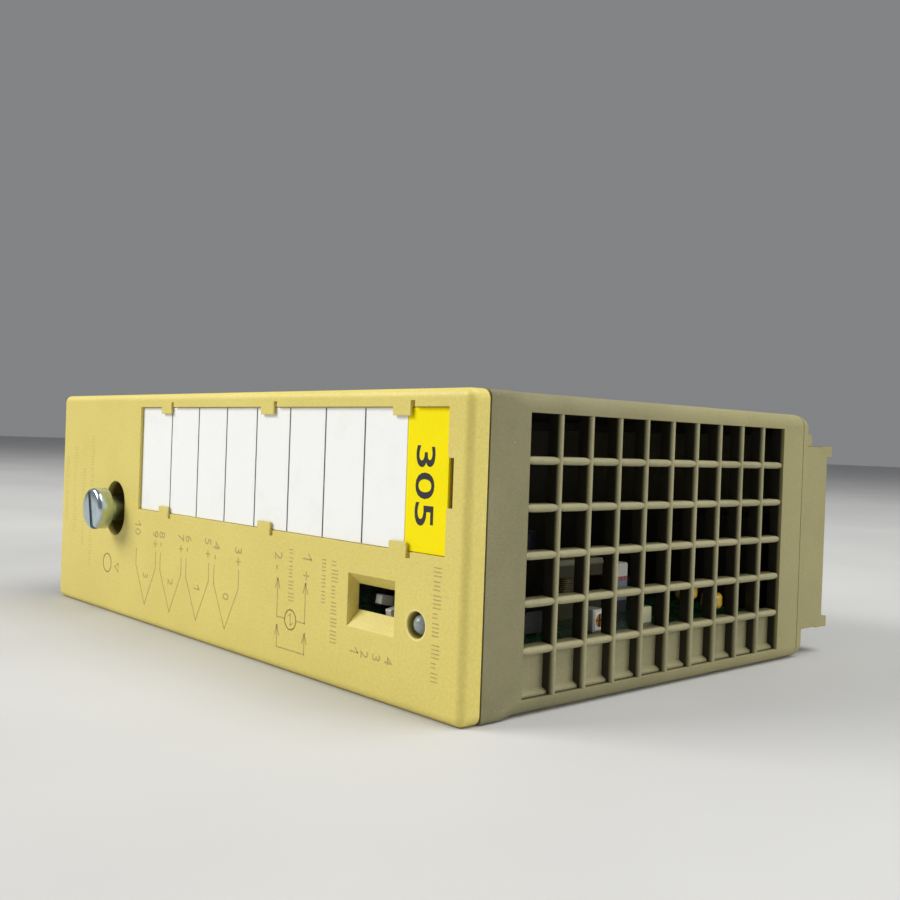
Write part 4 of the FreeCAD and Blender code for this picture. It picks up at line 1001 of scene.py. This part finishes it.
def make_label_print(finishes):
    rules = joined("label_rules", [rule_mesh(x) for x in RULE_XS])
    piece("label_rules", rules, finishes["rule_ink"])
    number = lettering(
        SLOT_NUMBER, SLOT_NUMBER_X, SLOT_NUMBER_Z, SLOT_NUMBER_H,
        CARD_FACE_Y, bold=SLOT_NUMBER_BOLD, length=SLOT_NUMBER_L,
    )
    piece("slot_number", number, finishes["black_ink"])


# ------------------------------------------------------------------ fixing screw
SCREW_X, SCREW_Z = 28.3, 21.9
# (y, radius) from the face of the head to the tip
SCREW_PROFILE = (
    (-5.3, 0.0), (-5.3, 3.4), (-5.24, 3.71), (-5.07, 3.97), (-4.81, 4.14), (-4.5, 4.2),
    (-2.3, 4.2), (-2.16, 4.12), (-2.1, 3.95), (-2.1, 2.72), (-2.0, 2.6), (0.85, 2.6), (1.0, 2.45),
    (1.0, 1.85), (1.15, 1.7), (7.06, 1.7), (7.06, 1.3), (7.94, 1.3), (7.94, 1.7), (86.6, 1.7),
    (87.0, 1.6), (92.6, 1.6), (93.0, 1.2), (93.0, 0.0),
)
SCREW_SIDES = 64
SCREW_SMOOTH_DEG = 32
SLOT_HALF_W, SLOT_DEPTH, SLOT_REACH, SLOT_EASE = 0.65, 1.1, 5.2, 0.15
SLOT_TILT = -13.0
THREAD_PITCH = 0.7
THREAD_ROOT, THREAD_CREST = 1.55, 1.95
THREAD_HALF_W, THREAD_SINK, THREAD_END_SINK = 0.3, 0.04, 0.02
THREAD_SIDES = 32
THREAD_START, THREAD_END = 87.1, 92.7


def turned(shape, profile, sides):
    """Turns a profile of (y, radius) about the screw's axis."""
    loops = []
    for y, radius in profile:
        if radius == 0.0:
            loops.append([shape.verts.new(spot(SCREW_X, y, SCREW_Z))])
            continue
        loop = []
        for side in range(sides):
            angle = 2 * math.pi * side / sides
            x = SCREW_X + radius * math.cos(angle)
            z = SCREW_Z + radius * math.sin(angle)
            loop.append(shape.verts.new(spot(x, y, z)))
        loops.append(loop)
    for one, two in zip(loops, loops[1:]):
        for side in range(sides):
            after = (side + 1) % sides
            if len(one) == 1:
                shape.faces.new((one[0], two[side], two[after]))
            elif len(two) == 1:
                shape.faces.new((one[side], one[after], two[0]))
            else:
                shape.faces.new((one[side], one[after], two[after], two[side]))


def slot_cutter():
    """The milled slot across the head, with a slightly rounded floor."""
    half, ease = SLOT_HALF_W, SLOT_EASE

    def build(shape):
        face = SCREW_PROFILE[0][0]
        floor = face + SLOT_DEPTH
        ring = [
            (-half, face - 1.0), (half, face - 1.0), (half, floor - ease),
            (half - ease, floor), (ease - half, floor), (-half, floor - ease),
        ]
        points = [spot(SCREW_X + x, y, SCREW_Z - SLOT_REACH) for x, y in ring]
        prism(shape, points, Vector((0, 0, 2 * SLOT_REACH)) * MM)

    mesh = mesh_from("slot", build)
    centre = spot(SCREW_X, 0, SCREW_Z)
    tilt = Matrix.Rotation(math.radians(SLOT_TILT), 4, "Y")
    mesh.transform(Matrix.Translation(centre) @ tilt @ Matrix.Translation(-centre))
    return mesh


def thread_mesh():
    """The rolled thread: a ridge wound round the end of the screw, fading in and out."""
    turns = (THREAD_END - THREAD_START) / THREAD_PITCH
    count = int(turns * THREAD_SIDES)
    foot = THREAD_ROOT - THREAD_SINK

    def build(shape):
        rings = []
        for step in range(count + 1):
            share = step / count
            grow = min(1.0, share * turns * 2, (1 - share) * turns * 2)
            crest = THREAD_ROOT + (THREAD_CREST - THREAD_ROOT) * grow - THREAD_END_SINK * (1 - grow)
            y = THREAD_START + share * (THREAD_END - THREAD_START)
            angle = 2 * math.pi * step / THREAD_SIDES
            ring = []
            for shift, radius in ((-THREAD_HALF_W, foot), (0.0, crest), (THREAD_HALF_W, foot)):
                x = SCREW_X + radius * math.cos(angle)
                z = SCREW_Z + radius * math.sin(angle)
                ring.append(spot(x, y + shift, z))
            rings.append(ring)
        loft(shape, rings)

    return mesh_from("thread", build)


def cut_away(mesh, cutter):
    """mesh less cutter, as a new mesh."""
    work = bpy.data.objects.new("work", mesh)
    tool = bpy.data.objects.new("tool", cutter)
    for made in (work, tool):
        bpy.context.scene.collection.objects.link(made)
    difference = work.modifiers.new("cut", "BOOLEAN")
    difference.object = tool
    difference.solver = "EXACT"
    bpy.context.view_layer.update()
    evaluated = work.evaluated_get(bpy.context.evaluated_depsgraph_get())
    result = bpy.data.meshes.new_from_object(evaluated)
    for made in (work, tool):
        bpy.data.objects.remove(made)
    return result


def smooth_by_angle(mesh, degrees):
    """Round surfaces shade smooth and edges sharper than the angle stay crisp."""
    mesh.polygons.foreach_set("use_smooth", [True] * len(mesh.polygons))
    mesh.set_sharp_from_angle(angle=math.radians(degrees))


def make_screw(finish):
    blank = mesh_from("screw", lambda shape: turned(shape, SCREW_PROFILE, SCREW_SIDES))
    whole = joined("turned_screw", [cut_away(blank, slot_cutter()), thread_mesh()])
    smooth_by_angle(whole, SCREW_SMOOTH_DEG)
    screw = piece("turned_screw", whole, finish, "screw")
    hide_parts("fixing_screw")


# ------------------------------------------------------------------ lamp inside
# place along the cover, where the post starts, half its width
LEAD_POSTS = ((124.55, 2.4, 0.42), (125.95, 3.0, 0.26))
LEAD_Z0, LEAD_Z1, LEAD_REAR_Y = 12.2, 12.8, 6.0


def make_lamp_parts(finishes):
    """The lead frame seen through the lens: a wider post and a shorter, narrower second post."""

    def build(shape):
        for x, y0, half in LEAD_POSTS:
            corners = ((x - half, LEAD_Z0), (x + half, LEAD_Z0), (x + half, LEAD_Z1), (x - half, LEAD_Z1))
            ring = [spot(cx, y0, cz) for cx, cz in corners]
            prism(shape, ring, Vector((0, LEAD_REAR_Y - y0, 0)) * MM)

    piece("lamp_lead_frame", mesh_from("lead_frame", build), finishes["tinned_copper"])


# ------------------------------------------------------------------ stage
WORLD_COLOUR, WORLD_STRENGTH = (0.86, 0.88, 0.90, 1), 0.26
LIGHT_TARGET = (0.0, 0.0, 0.02)
LIGHTS = (
    ("key_softbox", (-0.6, -0.8, 0.7), (0.7, 0.5), 12.0, (1.0, 0.985, 0.95)),
    ("top_softbox", (0.35, 0.2, 1.0), (0.9, 0.7), 9.0, (1.0, 0.99, 0.96)),
    ("end_softbox", (0.9, 0.35, 0.35), (0.5, 0.4), 3.0, (1.0, 0.99, 0.95)),
)
FLOOR_HALF = 4


def area_light(name, where, size, power, colour):
    data = bpy.data.lights.new(name, "AREA")
    data.shape = "RECTANGLE"
    data.size, data.size_y = size
    data.energy = power
    data.color = colour
    lamp = bpy.data.objects.new(name, data)
    lamp.location = where
    lamp.rotation_euler = (Vector(LIGHT_TARGET) - Vector(where)).to_track_quat("-Z", "Y").to_euler()
    bpy.context.scene.collection.objects.link(lamp)


def make_stage():
    world = bpy.data.worlds.new("studio")
    world.use_nodes = True
    background = world.node_tree.nodes["Background"]
    background.inputs["Color"].default_value = WORLD_COLOUR
    background.inputs["Strength"].default_value = WORLD_STRENGTH
    bpy.context.scene.world = world
    for light in LIGHTS:
        area_light(*light)

    def build(shape):
        half = FLOOR_HALF
        corners = ((-half, -half, 0), (half, -half, 0), (half, half, 0), (-half, half, 0))
        shape.faces.new([shape.verts.new(corner) for corner in corners])

    floor_mesh = mesh_from("floor", build)
    floor = bpy.data.objects.new("studio_floor", floor_mesh)
    bpy.context.scene.collection.objects.link(floor)
    material, tree, shader = new_material("pale_floor")
    cloud = fade(tree, noise(tree, 0.01, 4.0), 0.3, 0.7)
    link(tree, mixed(tree, cloud, (0.50, 0.50, 0.50), (0.55, 0.55, 0.545)), shader, "Base Color")
    link(tree, fade(tree, cloud, 0.0, 1.0, 0.55, 0.7), shader, "Roughness")
    floor.data.materials.append(material)
    bpy.context.scene.view_settings.view_transform = "Standard"


def make_everything():
    set_camera()
    finishes = make_finishes()
    shade_openings(finishes["housing_plastic"])
    shade_cover_holes(finishes["cover_plastic"])
    # engraved marks: their darker colour is painted shade in the grooves, fainter on the worn marks
    finishes["engraving"] = ink("engraving", (0.52, 0.42, 0.13), (0.40, 0.32, 0.10), 0.5)
    finishes["faint_engraving"] = ink("faint_engraving", (0.64, 0.54, 0.185), (0.56, 0.47, 0.155), 0.5)
    finishes["rule_ink"] = ink("rule_ink", (0.07, 0.075, 0.09), (0.035, 0.04, 0.05), 0.5)
    finishes["black_ink"] = ink("black_ink", (0.02, 0.02, 0.02), (0.008, 0.008, 0.008), 0.45)
    finish_frame(finishes)
    tree = grid_tree()
    make_grilles(tree, web_finish())
    make_cover_marks(tree, finishes)
    make_label_print(finishes)
    make_screw(finishes["zinc_steel"])
    make_lamp_parts(finishes)
    make_stage()


make_everything()
